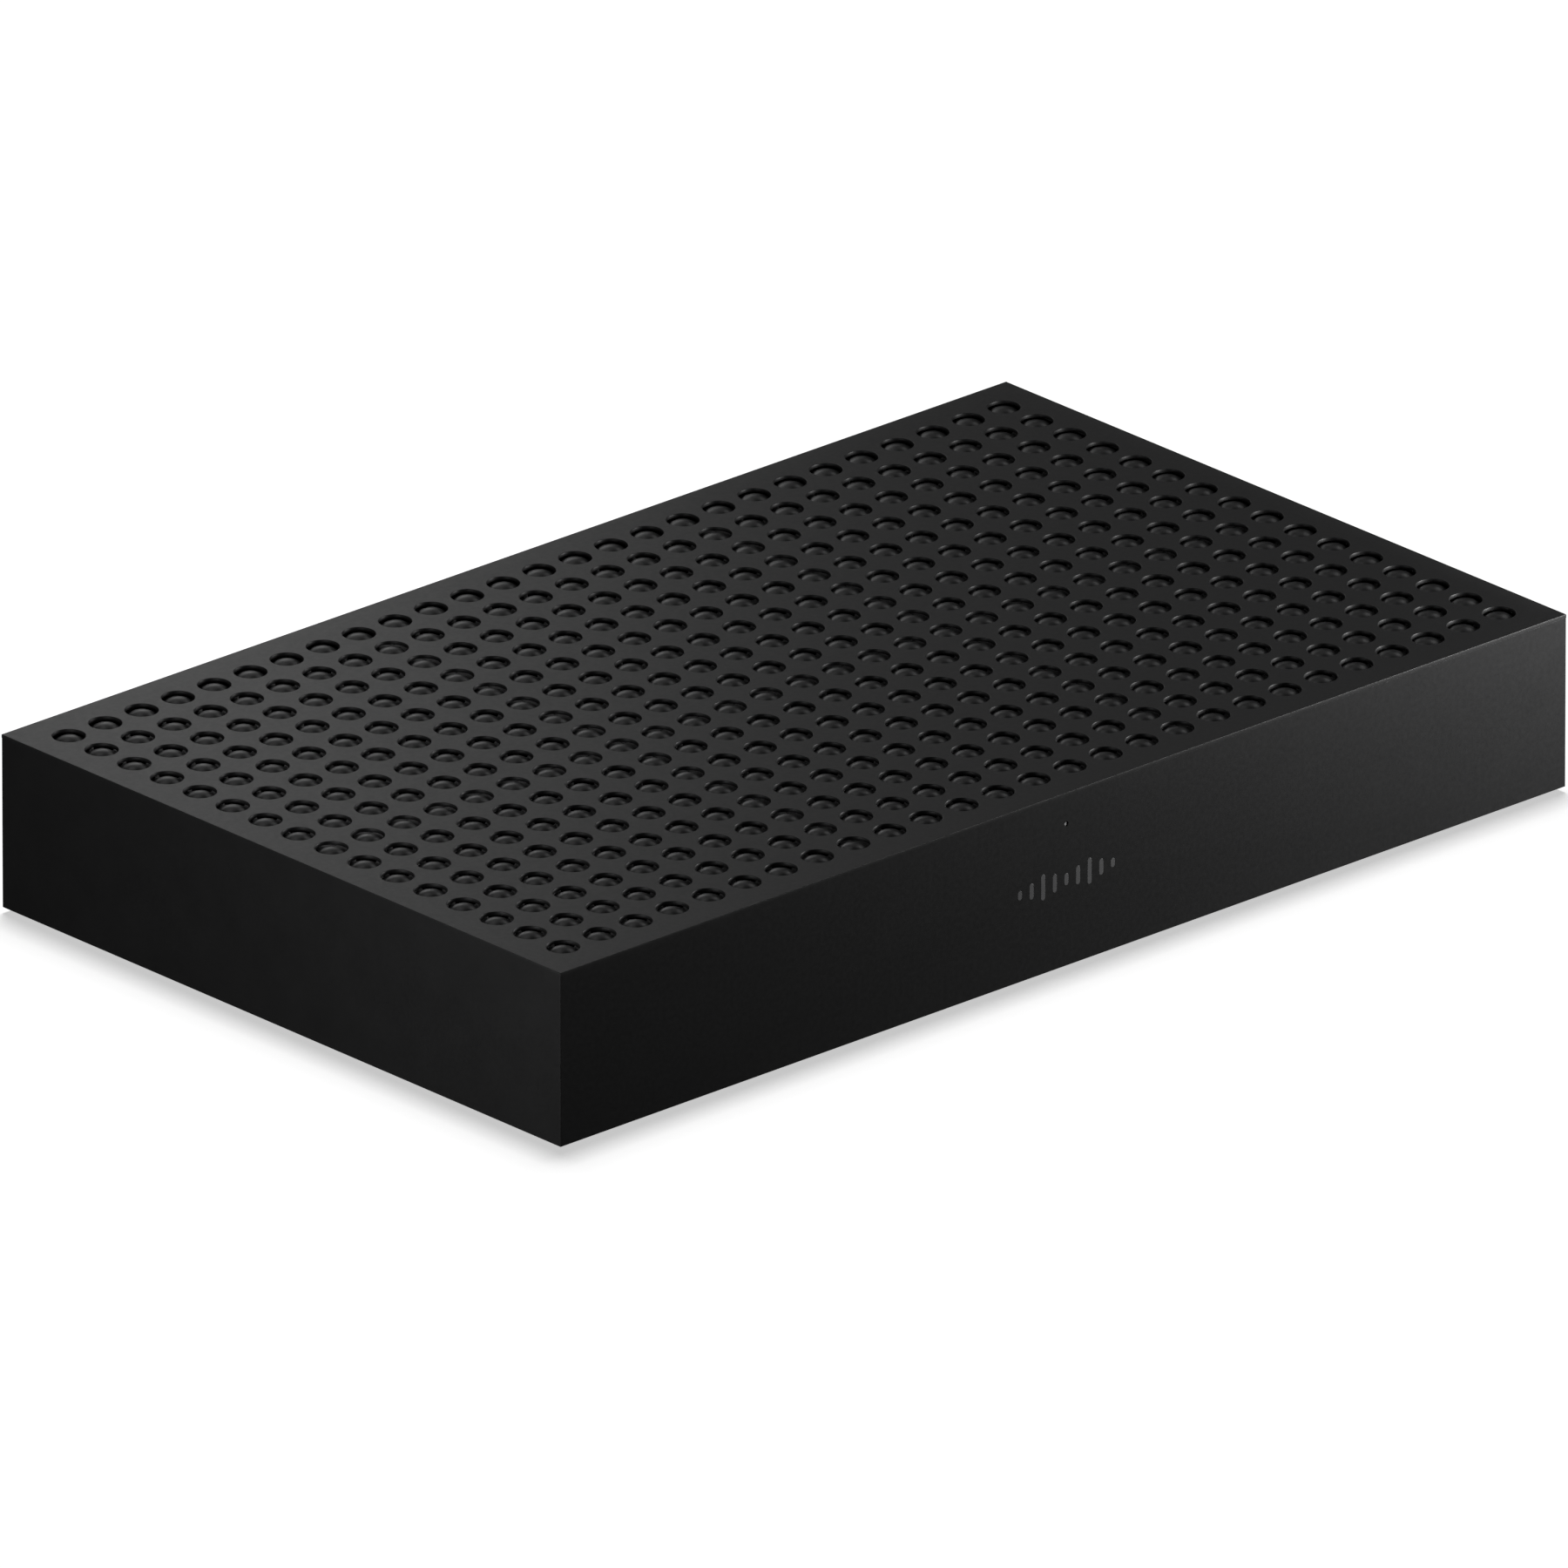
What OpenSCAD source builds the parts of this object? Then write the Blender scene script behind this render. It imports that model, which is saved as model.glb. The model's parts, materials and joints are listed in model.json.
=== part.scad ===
// Networked multi-room amplifier: a flat box with a grid of domed vents in its top.
// X runs along the width, Y from the front to the rear and Z up, in millimetres.
// The origin is the centre of the footprint, on the surface that the feet stand on.

/* [Housing] */
// Width of the housing, left to right
body_w = 433; // [432:0.5:436]
// Depth of the housing, front to rear
body_d = 263; // [263:0.5:266]
// Height of the housing without its feet
body_h = 59.5; // [59:0.5:64]
// Thickness of the four walls
wall_t = 3; // [2.6:0.1:3.2]
// Thickness of the perforated top plate
plate_t = 1.2; // [1:0.1:1.5]

/* [Vents] */
// Distance from one vent to the next, both ways
vent_pitch = 15.5; // [15.5:0.05:15.6]
// Vents along the width
vent_cols = 27; // [9:6:27]
// Vents along the depth
vent_rows = 16; // [4:2:16]
// Diameter of each vent in the top plate
vent_d = 10.7; // [9:0.1:11]
// Radius of the sphere that each dome is cut from
dome_r = 7.45; // [7.2:0.05:7.6]
// How far a dome's crown lies below the top face
dome_drop = 0.1; // [0.05:0.05:0.4]
// Radius of the round along the plate's outer edges
edge_r = 0.4; // [0.4:0.1:0.9]
// Diameter of the risers that let air up between four domes
riser_d = 6.6; // [4:0.2:7]

/* [Base] */
// Height of the rubber feet below the housing
foot_h = 2; // [2:0.5:6]
// Diameter of the feet
foot_d = 20; // [14:1:24]
// Thickness of the steel base plate
base_t = 1.2; // [1:0.1:1.5]
// Width of the air slots in the base plate
slot_w = 3.2; // [2:0.2:4]

/* [Front] */
// Diameter of the status light's window
light_d = 1.7; // [1.5:0.1:2.5]
// How far the status light lies below the top face
light_drop = 10.7; // [9:0.5:14]

/* [Rear] */
// How far the connector panel is set in from the rear edge
bay_depth = 8.5; // [8.5:0.5:9]
// Thickness of the connector panel
panel_t = 1.5; // [1.2:0.1:1.6]

/* [Hidden] */
$fn = 48;

half_w = body_w / 2;
half_d = body_d / 2;
in_w = half_w - wall_t;
in_d = half_d - wall_t;
top_z = foot_h + body_h;
plate_z = top_z - plate_t;
base_z = foot_h + base_t;

dome_h = 4;
dome_wall = 1.2;
dome_z = top_z - dome_drop - dome_r;
tray_t = 1.4;
tray_top = top_z - dome_drop - dome_h;
tray_z = tray_top - tray_t;
tray_gap = 0.3;
tray_split = [3, 2];
ledge_t = 2;
ledge_lap = 1.5;
tray_half_w = vent_cols * vent_pitch / 2;
tray_half_d = vent_rows * vent_pitch / 2;

panel_y = half_d - bay_depth;
panel_in = panel_y - panel_t;
window_side = 12;
window_low = foot_h + 6;
window_high = tray_z - ledge_t - 2;
lining_t = 2;

standoff_h = 8;
board_t = 1.6;
board_z = base_z + standoff_h;
board_top = board_z + board_t;

// Boards as [left, right, front, rear]
psu_area = [-206, -104, -105, 92];
amp_left_area = [-98, -34, -105, 119];
amp_right_area = [-28, 36, -105, 119];
main_area = [42, 206, -105, 120];
AREAS = [psu_area, amp_left_area, amp_right_area, main_area];
board_inset = 4.5;
hole_rows = [-100, 17.5, 86];

// Rear connectors: where each one's axis meets the panel
inlet_x = -172;
inlet_z = base_z + 25;
plug_xs = [-82, -50, -12, 20];
plug_z = board_top;
rca_xs = [56, 82, 108];
rca_pitch = 14;
rca_z = board_top + 7;
optical_x = 128;
optical_z = board_top + 5.2;
trigger_xs = [141, 151];
trigger_z = board_top + 4;
button_x = 163;
button_z = board_top + 5.2;
button_travel = 0.8;
button_r = 3;
lan_xs = [178.5, 196];

// Screws up through the base: along both ends and the front wall
end_screw_x = in_w - 3;
front_screw_y = -in_d + 3;
WALL_SCREWS = [
    for (x = [-end_screw_x, end_screw_x], y = [-98, 0, 98]) [x, y],
    for (x = [-150, 0, 150]) [x, front_screw_y]
];
FLANGE_SCREWS = [for (x = [-200, -120, 0, 150, 206]) [x, panel_in - 6]];
boss_r = 4;
boss_h = 14;

foot_x = half_w - 26;
foot_y = half_d - 26;
insert_x = 150;
insert_y = 96;
insert_r = 2;

light_board_y = -in_d + 3.4;

badge_bars = [3.2, 5.6, 9, 6.4, 4.2, 6.4, 9, 5.6, 3.2];
badge_pitch = 5;
badge_bar_w = 1.9;
badge_z = foot_h + body_h / 2;
badge_depth = 0.3;

// ---- helpers ----

// A box between two corners
module block(low, high) {
    translate(low) cube(high - low);
}

// A round post that stands on z0
module post(x, y, r, z0, z1) {
    translate([x, y, z0]) cylinder(r = r, h = z1 - z0);
}

// A round bar along Y
module bar_y(x, z, r, y0, y1) {
    translate([x, y0, z]) rotate([-90, 0, 0]) cylinder(r = r, h = y1 - y0);
}

// A slot with round ends, centred, along Y
module slot(length, width) {
    square([width, length - width], center = true);
    for (end = [-1, 1]) translate([0, end * (length - width) / 2]) circle(d = width);
}

// A drawn rectangle with round corners, centred
module soft_rect(w, d, r) {
    square([w - 2 * r, d], center = true);
    square([w, d - 2 * r], center = true);
    for (x = [-1, 1], y = [-1, 1]) translate([x * (w / 2 - r), y * (d / 2 - r)]) circle(r = r);
}

// Points of an arch from one place to another
function arch(start, end, rise, steps = 12) = [
    for (k = [0:steps])
        let (a = 180 * k / steps)
            start + (end - start) * (1 - cos(a)) / 2 + [0, 0, rise * sin(a)]
];

// A wire along an upright arch from one place to another
module wire(start, end, rise, r, sides = 8) {
    path = arch(start, end, rise);
    across = cross([0, 0, 1], end - start);
    side = across / norm(across);
    last = len(path) - 1;
    // the first ring lies flat on what the wire starts from
    function heading(i) =
        i == 0 ? [0, 0, 1] : let (d = path[min(i + 1, last)] - path[i - 1]) d / norm(d);
    function around(i, k) =
        let (a = 360 * k / sides)
            path[i] + r * (cos(a) * side + sin(a) * cross(side, heading(i)));
    rings = [for (i = [0:last], k = [0:sides - 1]) around(i, k)];
    walls = [
        for (i = [0:last - 1], k = [0:sides - 1])
            let (n = (k + 1) % sides)
                [i * sides + k, i * sides + n, (i + 1) * sides + n, (i + 1) * sides + k]
    ];
    caps = [
        [for (k = [sides - 1:-1:0]) k],
        [for (k = [0:sides - 1]) last * sides + k]
    ];
    polyhedron(points = rings, faces = concat(walls, caps));
}

// Places its children at every vent
module at_vents(cols = vent_cols, rows = vent_rows) {
    for (i = [0:cols - 1], j = [0:rows - 1])
        translate([(i - (cols - 1) / 2) * vent_pitch, (j - (rows - 1) / 2) * vent_pitch])
            children();
}

function hole_places(area) = [
    for (x = [area[0] + board_inset, area[1] - board_inset], y = hole_rows) [x, y]
];

// ---- housing ----

// What a rounded edge takes off a square one that runs along X
module edge_cut(length) {
    difference() {
        translate([-length / 2, 0, 0]) cube([length, edge_r + 1, edge_r + 1]);
        translate([-length / 2 - 1, 0, 0]) rotate([0, 90, 0]) cylinder(r = edge_r, h = length + 2);
    }
}

module top_plate() {
    color([0.16, 0.16, 0.16])
        difference() {
            translate([0, 0, plate_z])
                linear_extrude(plate_t)
                    difference() {
                        square([body_w, body_d], center = true);
                        at_vents() circle(d = vent_d);
                    }
            for (turn = [0, 180])
                rotate([0, 0, turn])
                    translate([0, half_d - edge_r, top_z - edge_r])
                        edge_cut(body_w + 2);
            for (turn = [90, 270])
                rotate([0, 0, turn])
                    translate([0, half_w - edge_r, top_z - edge_r])
                        edge_cut(body_d + 2);
        }
}

// One moulded tray: a dome below each vent, and risers between the domes
module dome_tray(cols, rows) {
    w = cols * vent_pitch - tray_gap;
    d = rows * vent_pitch - tray_gap;
    difference() {
        union() {
            translate([0, 0, tray_z])
                linear_extrude(tray_t)
                    difference() {
                        square([w, d], center = true);
                        at_vents(cols - 1, rows - 1) circle(d = riser_d);
                    }
            translate([0, 0, dome_z]) at_vents(cols, rows) sphere(r = dome_r);
        }
        translate([0, 0, dome_z]) at_vents(cols, rows) sphere(r = dome_r - dome_wall);
        translate([-w, -d, tray_z - body_h]) cube([2 * w, 2 * d, body_h]);
    }
}

// The trays lie side by side on the ledge round the walls
module dome_trays() {
    cols = vent_cols / tray_split[0];
    rows = vent_rows / tray_split[1];
    color([0.12, 0.12, 0.12])
        for (i = [0:tray_split[0] - 1], j = [0:tray_split[1] - 1])
            translate([
                (i - (tray_split[0] - 1) / 2) * cols * vent_pitch,
                (j - (tray_split[1] - 1) / 2) * rows * vent_pitch,
                0
            ])
                dome_tray(cols, rows);
}

module badge_outline() {
    for (i = [0:len(badge_bars) - 1])
        translate([(i - (len(badge_bars) - 1) / 2) * badge_pitch, 0])
            slot(badge_bars[i], badge_bar_w);
}

module front_badge() {
    color([0.33, 0.33, 0.33])
        translate([0, -half_d + badge_depth, badge_z])
            rotate([90, 0, 0])
                linear_extrude(badge_depth)
                    badge_outline();
}

// Front, two ends and rear in one moulded ring, with a lined window over the connector bay
module wall_frame() {
    window_half = half_w - window_side;
    light_z = top_z - light_drop;
    color([0.12, 0.12, 0.12])
        difference() {
            union() {
                difference() {
                    block([-half_w, -half_d, foot_h], [half_w, half_d, plate_z]);
                    block([-in_w, -in_d, foot_h - 1], [in_w, in_d, plate_z + 1]);
                }
                difference() {
                    block([-in_w - 1, -in_d - 1, tray_z - ledge_t], [in_w + 1, in_d + 1, tray_z]);
                    block(
                        [-tray_half_w + ledge_lap, -tray_half_d + ledge_lap, tray_z - ledge_t - 1],
                        [tray_half_w - ledge_lap, tray_half_d - ledge_lap, tray_z + 1]
                    );
                }
                block(
                    [-window_half - lining_t, panel_y, window_low - lining_t],
                    [window_half + lining_t, in_d + 1, window_high + lining_t]
                );
                for (p = WALL_SCREWS) post(p[0], p[1], boss_r, base_z, base_z + boss_h);
                for (x = [-1, 1]) bar_y(x * 7, light_z - 3, 1.6, -in_d - 1, light_board_y);
            }
            block([-window_half, panel_y - 1, window_low], [window_half, half_d + 1, window_high]);
            for (p = WALL_SCREWS) post(p[0], p[1], 1.3, base_z - 1, base_z + boss_h - 2);
            bar_y(0, light_z, light_d / 2, -half_d - 1, -in_d + 1);
            translate([0, -half_d + badge_depth, badge_z])
                rotate([90, 0, 0])
                    linear_extrude(badge_depth + 1)
                        badge_outline();
        }
}

module base_plate() {
    edge = 0.4;
    color([0.2, 0.2, 0.2])
        translate([0, 0, foot_h])
            linear_extrude(base_t)
                difference() {
                    square([2 * (in_w - edge), 2 * (in_d - edge)], center = true);
                    for (x = [-165:11:165], y = [-70:35:70]) translate([x, y]) slot(26, slot_w);
                    for (p = WALL_SCREWS) translate(p) circle(r = 1.7);
                    for (p = FLANGE_SCREWS) translate(p) circle(r = 1.7);
                    for (area = AREAS, p = hole_places(area)) translate(p) circle(r = 1.5);
                    for (x = [-foot_x, foot_x], y = [-foot_y, foot_y]) translate([x, y]) circle(r = 3);
                    for (x = [-insert_x, insert_x], y = [-insert_y, insert_y])
                        translate([x, y]) circle(r = 3.2);
                }
}

// ---- rear panel ----

module rear_panel() {
    side = 212;
    flange = 12;
    color([0.1, 0.1, 0.1])
        difference() {
            union() {
                block([-side, panel_in, base_z], [side, panel_y, tray_z - ledge_t]);
                block([-side, panel_in - flange, base_z], [side, panel_in + 0.5, base_z + 1.2]);
            }
            for (p = FLANGE_SCREWS) post(p[0], p[1], 1.3, base_z - 1, base_z + 3);
            block(
                [inlet_x - 14.2, panel_in - 1, inlet_z - 10.4],
                [inlet_x + 14.2, panel_y + 1, inlet_z + 10.4]
            );
            for (s = [-1, 1]) bar_y(inlet_x + s * 20, inlet_z, 1.6, panel_in - 1, panel_y + 1);
            for (x = plug_xs)
                block([x - 10.9, panel_in - 1, plug_z - 0.4], [x + 10.9, panel_y + 1, plug_z + 16]);
            for (x = rca_xs, i = [-1, 1], j = [0, 1])
                bar_y(x + i * rca_pitch / 2, rca_z + j * rca_pitch, 5, panel_in - 1, panel_y + 1);
            block(
                [optical_x - 5, panel_in - 1, board_top - 0.2],
                [optical_x + 5, panel_y + 1, board_top + 10.8]
            );
            for (x = trigger_xs) bar_y(x, trigger_z, 3.2, panel_in - 1, panel_y + 1);
            bar_y(button_x, button_z, button_r + turning_gap, panel_in - 1, panel_y + 1);
            for (x = lan_xs)
                block(
                    [x - 8.2, panel_in - 1, board_top - 0.2],
                    [x + 8.2, panel_y + 1, board_top + 13.8]
                );
        }
}

module panel_screws() {
    color("silver") {
        for (p = FLANGE_SCREWS) screw_up(p[0], p[1], 5);
        for (s = [-1, 1]) {
            bar_y(inlet_x + s * 20, inlet_z, 1.5, panel_in - 4, panel_y + 3);
            bar_y(inlet_x + s * 20, inlet_z, 2.8, panel_y + 3, panel_y + 4.6);
            translate([inlet_x + s * 20, panel_in, inlet_z])
                rotate([90, 0, 0])
                    difference() {
                        cylinder(r = 3.1, h = 2.4, $fn = 6);
                        translate([0, 0, -1]) cylinder(r = 1.5, h = 5);
                    }
        }
    }
}

// A pan-head screw that goes up through the base plate
module screw_up(x, y, length) {
    post(x, y, 2.8, foot_h - 1.4, foot_h);
    post(x, y, 1.3, foot_h - 0.5, foot_h + length);
}

module base_screws() {
    color("silver")
        for (p = WALL_SCREWS) screw_up(p[0], p[1], 11);
}

module feet() {
    color([0.08, 0.08, 0.08])
        for (x = [-foot_x, foot_x], y = [-foot_y, foot_y]) {
            post(x, y, foot_d / 2, 0, foot_h);
            post(x, y, 3, foot_h - 0.5, base_z);
            post(x, y, 3.6, base_z, base_z + 1.6);
        }
}

// Threaded inserts for a wall bracket or a rack shelf
module mount_inserts() {
    color("goldenrod")
        for (x = [-insert_x, insert_x], y = [-insert_y, insert_y])
            difference() {
                union() {
                    post(x, y, 3.2, foot_h, base_z);
                    post(x, y, 4.2, base_z, base_z + 6);
                }
                post(x, y, insert_r, foot_h - 1, base_z + 5);
            }
}

module standoffs() {
    color("gold")
        for (area = AREAS, p = hole_places(area))
            difference() {
                union() {
                    post(p[0], p[1], 3, base_z, board_z);
                    post(p[0], p[1], 1.5, foot_h, base_z + 0.5);
                }
                post(p[0], p[1], 1.25, base_z + 2, board_z + 1);
            }
}

module board_screws() {
    color("silver")
        for (area = AREAS, p = hole_places(area)) {
            post(p[0], p[1], 1.25, base_z + 3, board_top + 0.5);
            post(p[0], p[1], 2.8, board_top, board_top + 1.7);
        }
}

// ---- status light ----

module light_pipe() {
    z = top_z - light_drop;
    color([0.9, 0.9, 0.9]) {
        bar_y(0, z, light_d / 2 - 0.03, -half_d + 0.35, -in_d + 1);
        bar_y(0, z, 2.4, -in_d, -in_d + 1.5);
    }
}

// The light sits on a small board, held on two pegs of the front wall
module light_board() {
    z = top_z - light_drop;
    color("darkgreen") {
        block([-10, light_board_y, z - 6], [10, light_board_y + 1, z + 3]);
        block([-1.6, -in_d + 1.7, z - 0.8], [1.6, light_board_y, z + 0.8]);
    }
}

// ---- boards ----

module board(area) {
    color([0.05, 0.25, 0.12])
        translate([0, 0, board_z])
            linear_extrude(board_t)
                difference() {
                    translate([area[0], area[2]]) square([area[1] - area[0], area[3] - area[2]]);
                    for (p = hole_places(area)) translate(p) circle(r = 1.6);
                }
}

module psu_board() { board(psu_area); }
module amp_board_left() { board(amp_left_area); }
module amp_board_right() { board(amp_right_area); }
module main_board() { board(main_area); }

// ---- power supply ----

module fuse() {
    color("silver")
        for (y = [69, 83]) block([-125, y, board_top], [-118, y + 4, board_top + 8]);
    color("wheat") bar_y(-121.5, board_top + 4.5, 2.6, 73, 83);
}

module emi_choke() {
    color("orange")
        translate([-184, 70, board_top + 9])
            rotate_extrude() translate([11, 0]) circle(r = 6);
    color("black") post(-184, 70, 4.5, board_top, board_top + 18);
}

module film_capacitors() {
    color([0.8, 0.7, 0.2]) {
        for (x = [-158, -143]) block([x - 5.5, 56, board_top], [x + 5.5, 82, board_top + 19]);
        for (area = [amp_left_area, amp_right_area], i = [0:3])
            block(
                [area[0] + 9 + i * 12.4, 93, board_top],
                [area[0] + 17 + i * 12.4, 104, board_top + 11]
            );
    }
}

// A sheet heat sink: an upright web with fins on one face
module finned_plate(x0, x1, y, height, fins) {
    step = (x1 - x0 - 2) / (fins - 1);
    block([x0, y, board_top], [x1, y + 3, board_top + height]);
    for (i = [0:fins - 1])
        block([x0 + i * step, y - 9, board_top + 6], [x0 + i * step + 2, y + 0.5, board_top + height]);
}

module bridge_heat_sink() {
    color([0.7, 0.72, 0.74]) finned_plate(-198, -112, 46, 30, 12);
    color("black") block([-166, 49, board_top + 3], [-146, 52.5, board_top + 22]);
}

module bulk_capacitors() {
    color([0.15, 0.2, 0.3])
        for (x = [-184, -152])
            difference() {
                post(x, 12, 14, board_top, board_top + 37);
                post(x, 12, 10, board_top + 36.4, board_top + 38);
            }
}

module pfc_inductor() {
    color([0.75, 0.4, 0.15])
        translate([-121, -8, board_top + 9.5])
            rotate_extrude() translate([9, 0]) circle(r = 6);
    color("black") post(-121, -8, 2.8, board_top, board_top + 18);
}

module main_transformer() {
    z = board_top;
    color([0.2, 0.2, 0.2]) {
        block([-188, -56, z + 2], [-142, -48, z + 34]);
        block([-188, -30, z + 2], [-142, -22, z + 34]);
        block([-188, -48, z + 12], [-180, -30, z + 24]);
        block([-150, -48, z + 12], [-142, -30, z + 24]);
    }
    color([0.85, 0.75, 0.3]) block([-179.5, -47.5, z], [-150.5, -30.5, z + 36]);
}

module rectifier_heat_sink() {
    color([0.7, 0.72, 0.74]) finned_plate(-198, -112, -66, 26, 12);
    color("black")
        for (x = [-185, -165, -145, -125]) block([x - 5, -63, board_top + 4], [x + 5, -59, board_top + 20]);
}

module supply_capacitors() {
    color([0.1, 0.1, 0.12])
        for (x = [-192:16.5:-126]) post(x, -89, 7.5, board_top, board_top + 26);
}

// ---- mains inlet ----

module mains_inlet() {
    face = panel_y + 3;
    depth = 16.5;
    color([0.07, 0.07, 0.07])
        difference() {
            union() {
                translate([inlet_x, panel_y, inlet_z])
                    rotate([-90, 0, 0])
                        linear_extrude(3)
                            soft_rect(50, 23, 5);
                block(
                    [inlet_x - 14, panel_in - 18, inlet_z - 10.2],
                    [inlet_x + 14, panel_y + 0.5, inlet_z + 10.2]
                );
            }
            translate([inlet_x, face + 1, inlet_z])
                rotate([90, 0, 0])
                    linear_extrude(depth + 1)
                        polygon([
                            [-12.2, -8.3], [12.2, -8.3], [12.2, 3.8],
                            [7.7, 8.3], [-7.7, 8.3], [-12.2, 3.8]
                        ]);
            for (s = [-1, 1]) bar_y(inlet_x + s * 20, inlet_z, 1.6, panel_y - 1, face + 1);
            for (p = [[-7, -2], [0, 2], [7, -2]])
                block(
                    [inlet_x + p[0] - 1, panel_in - 19, inlet_z + p[1] - 2],
                    [inlet_x + p[0] + 1, face - depth + 1, inlet_z + p[1] + 2]
                );
        }
}

module mains_pins() {
    color("silver")
        for (p = [[-7, -2], [0, 2], [7, -2]])
            block(
                [inlet_x + p[0] - 1, panel_in - 24, inlet_z + p[1] - 2],
                [inlet_x + p[0] + 1, panel_y - 0.5, inlet_z + p[1] + 2]
            );
}

// ---- amplifier boards ----

sink_w = 49;
sink_front = -101;
sink_rear = 52;
chip_h = 2.4;
pad_h = 0.5;
sink_z = board_top + chip_h + pad_h;
chip_ys = [-80, -45, -10, 25];

function mid_x(area) = (area[0] + area[1]) / 2;

// An extruded heat sink whose fins run from front to rear
module amp_heat_sink(area) {
    base_h = 5;
    fins = 9;
    fin_t = 1.8;
    fin_h = 27;
    step = (sink_w - fin_t) / (fins - 1);
    x0 = mid_x(area) - sink_w / 2;
    color([0.12, 0.12, 0.13])
        translate([x0, sink_rear, sink_z])
            rotate([90, 0, 0])
                linear_extrude(sink_rear - sink_front) {
                    square([sink_w, base_h]);
                    for (i = [0:fins - 1]) translate([i * step, 0]) square([fin_t, base_h + fin_h]);
                }
}

module amp_heat_sink_left() { amp_heat_sink(amp_left_area); }
module amp_heat_sink_right() { amp_heat_sink(amp_right_area); }

module amp_chips() {
    color([0.1, 0.1, 0.1])
        for (area = [amp_left_area, amp_right_area], y = chip_ys)
            block(
                [mid_x(area) - 9, y - 7, board_top],
                [mid_x(area) + 9, y + 7, board_top + chip_h]
            );
}

module thermal_pads() {
    color([0.6, 0.7, 0.8])
        for (area = [amp_left_area, amp_right_area], y = chip_ys)
            block(
                [mid_x(area) - 10, y - 8, board_top + chip_h],
                [mid_x(area) + 10, y + 8, sink_z]
            );
}

module output_inductors() {
    color([0.25, 0.25, 0.27])
        for (area = [amp_left_area, amp_right_area], i = [0:2], y = [57, 74])
            translate([area[0] + 9 + i * 16, y, board_top])
                union() {
                    cube([14, 14, 9]);
                    translate([7, 7, 0]) cylinder(r = 5.5, h = 10);
                }
}

// ---- speaker outputs ----

header_w = 22;
header_h = 9;
header_wall = 0.9;
header_y = 107.5;
header_mouth = 119.5;
pole_pitch = 5.08;
function pole_x(x, i) = x + (i - 1.5) * pole_pitch;

module speaker_headers() {
    color([0.1, 0.45, 0.2])
        for (x = plug_xs)
            difference() {
                block(
                    [x - header_w / 2, header_y, plug_z],
                    [x + header_w / 2, header_mouth, plug_z + header_h]
                );
                block(
                    [x - header_w / 2 + header_wall, header_y + 1.6, plug_z + header_wall],
                    [x + header_w / 2 - header_wall, header_mouth + 1, plug_z + header_h - header_wall]
                );
                for (i = [0:3])
                    block(
                        [pole_x(x, i) - 0.5, header_y - 1, plug_z + 4],
                        [pole_x(x, i) + 0.5, header_y + 2, plug_z + 5]
                    );
            }
}

module header_pins() {
    color("silver")
        for (x = plug_xs, i = [0:3])
            block(
                [pole_x(x, i) - 0.5, header_y - 1.5, plug_z + 4],
                [pole_x(x, i) + 0.5, header_mouth - 2, plug_z + 5]
            );
}

plug_w = 20.6;
plug_top = plug_z + 15.3;
plug_rear = half_d - 0.5;
plug_nose_y = 109.8;
screw_well_y = plug_rear - 5.5;

module speaker_plug(x) {
    color([0.12, 0.5, 0.22])
        difference() {
            union() {
                block(
                    [x - header_w / 2 + 1.2, plug_nose_y, plug_z + 1.2],
                    [x + header_w / 2 - 1.2, header_mouth + 0.5, plug_z + header_h - 1.2]
                );
                block(
                    [x - plug_w / 2, header_mouth + 0.2, plug_z + 0.2],
                    [x + plug_w / 2, plug_rear, plug_top]
                );
            }
            for (i = [0:3]) {
                block(
                    [pole_x(x, i) - 0.8, plug_nose_y - 1, plug_z + 3.7],
                    [pole_x(x, i) + 0.8, header_mouth - 0.5, plug_z + 5.3]
                );
                bar_y(pole_x(x, i), plug_z + 4.5, 1.7, plug_rear - 9, plug_rear + 1);
                post(pole_x(x, i), screw_well_y, 2, plug_top - 5, plug_top + 1);
            }
            block(
                [x - plug_w / 2 - 1, plug_rear - 2.4, plug_z + 10],
                [x + plug_w / 2 + 1, plug_rear + 1, plug_top + 1]
            );
        }
}

module plug_screws(x) {
    color("silver")
        for (i = [0:3])
            difference() {
                post(pole_x(x, i), screw_well_y, 1.8, plug_top - 5, plug_top - 2.2);
                translate([pole_x(x, i), screw_well_y, plug_top - 2.2])
                    cube([4, 0.6, 1.2], center = true);
            }
}

module speaker_plug_1() { speaker_plug(plug_xs[0]); }
module speaker_plug_2() { speaker_plug(plug_xs[1]); }
module speaker_plug_3() { speaker_plug(plug_xs[2]); }
module speaker_plug_4() { speaker_plug(plug_xs[3]); }
module plug_screws_1() { plug_screws(plug_xs[0]); }
module plug_screws_2() { plug_screws(plug_xs[1]); }
module plug_screws_3() { plug_screws(plug_xs[2]); }
module plug_screws_4() { plug_screws(plug_xs[3]); }

// ---- main board ----

module control_chips() {
    z = board_top;
    color([0.08, 0.08, 0.09]) {
        for (x = [58:22:190]) block([x, 58, z], [x + 9, 67, z + 1.4]);
        for (x = [62:26:190]) block([x, 84, z], [x + 6, 90, z + 1.2]);
        for (x = [60, 82, 104, 126]) block([x, 30, z], [x + 12, 42, z + 1.6]);
        for (x = [150, 170]) block([x, -92, z], [x + 14, -78, z + 1.6]);
    }
}

shield_low = [96, -56];
shield_high = [152, -6];
shield_h = 4;

module processor_shield() {
    color([0.75, 0.76, 0.78])
        difference() {
            block(
                [shield_low[0], shield_low[1], board_top],
                [shield_high[0], shield_high[1], board_top + shield_h]
            );
            block(
                [shield_low[0] + 0.4, shield_low[1] + 0.4, board_top - 1],
                [shield_high[0] - 0.4, shield_high[1] - 0.4, board_top + shield_h - 0.4]
            );
        }
}

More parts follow.
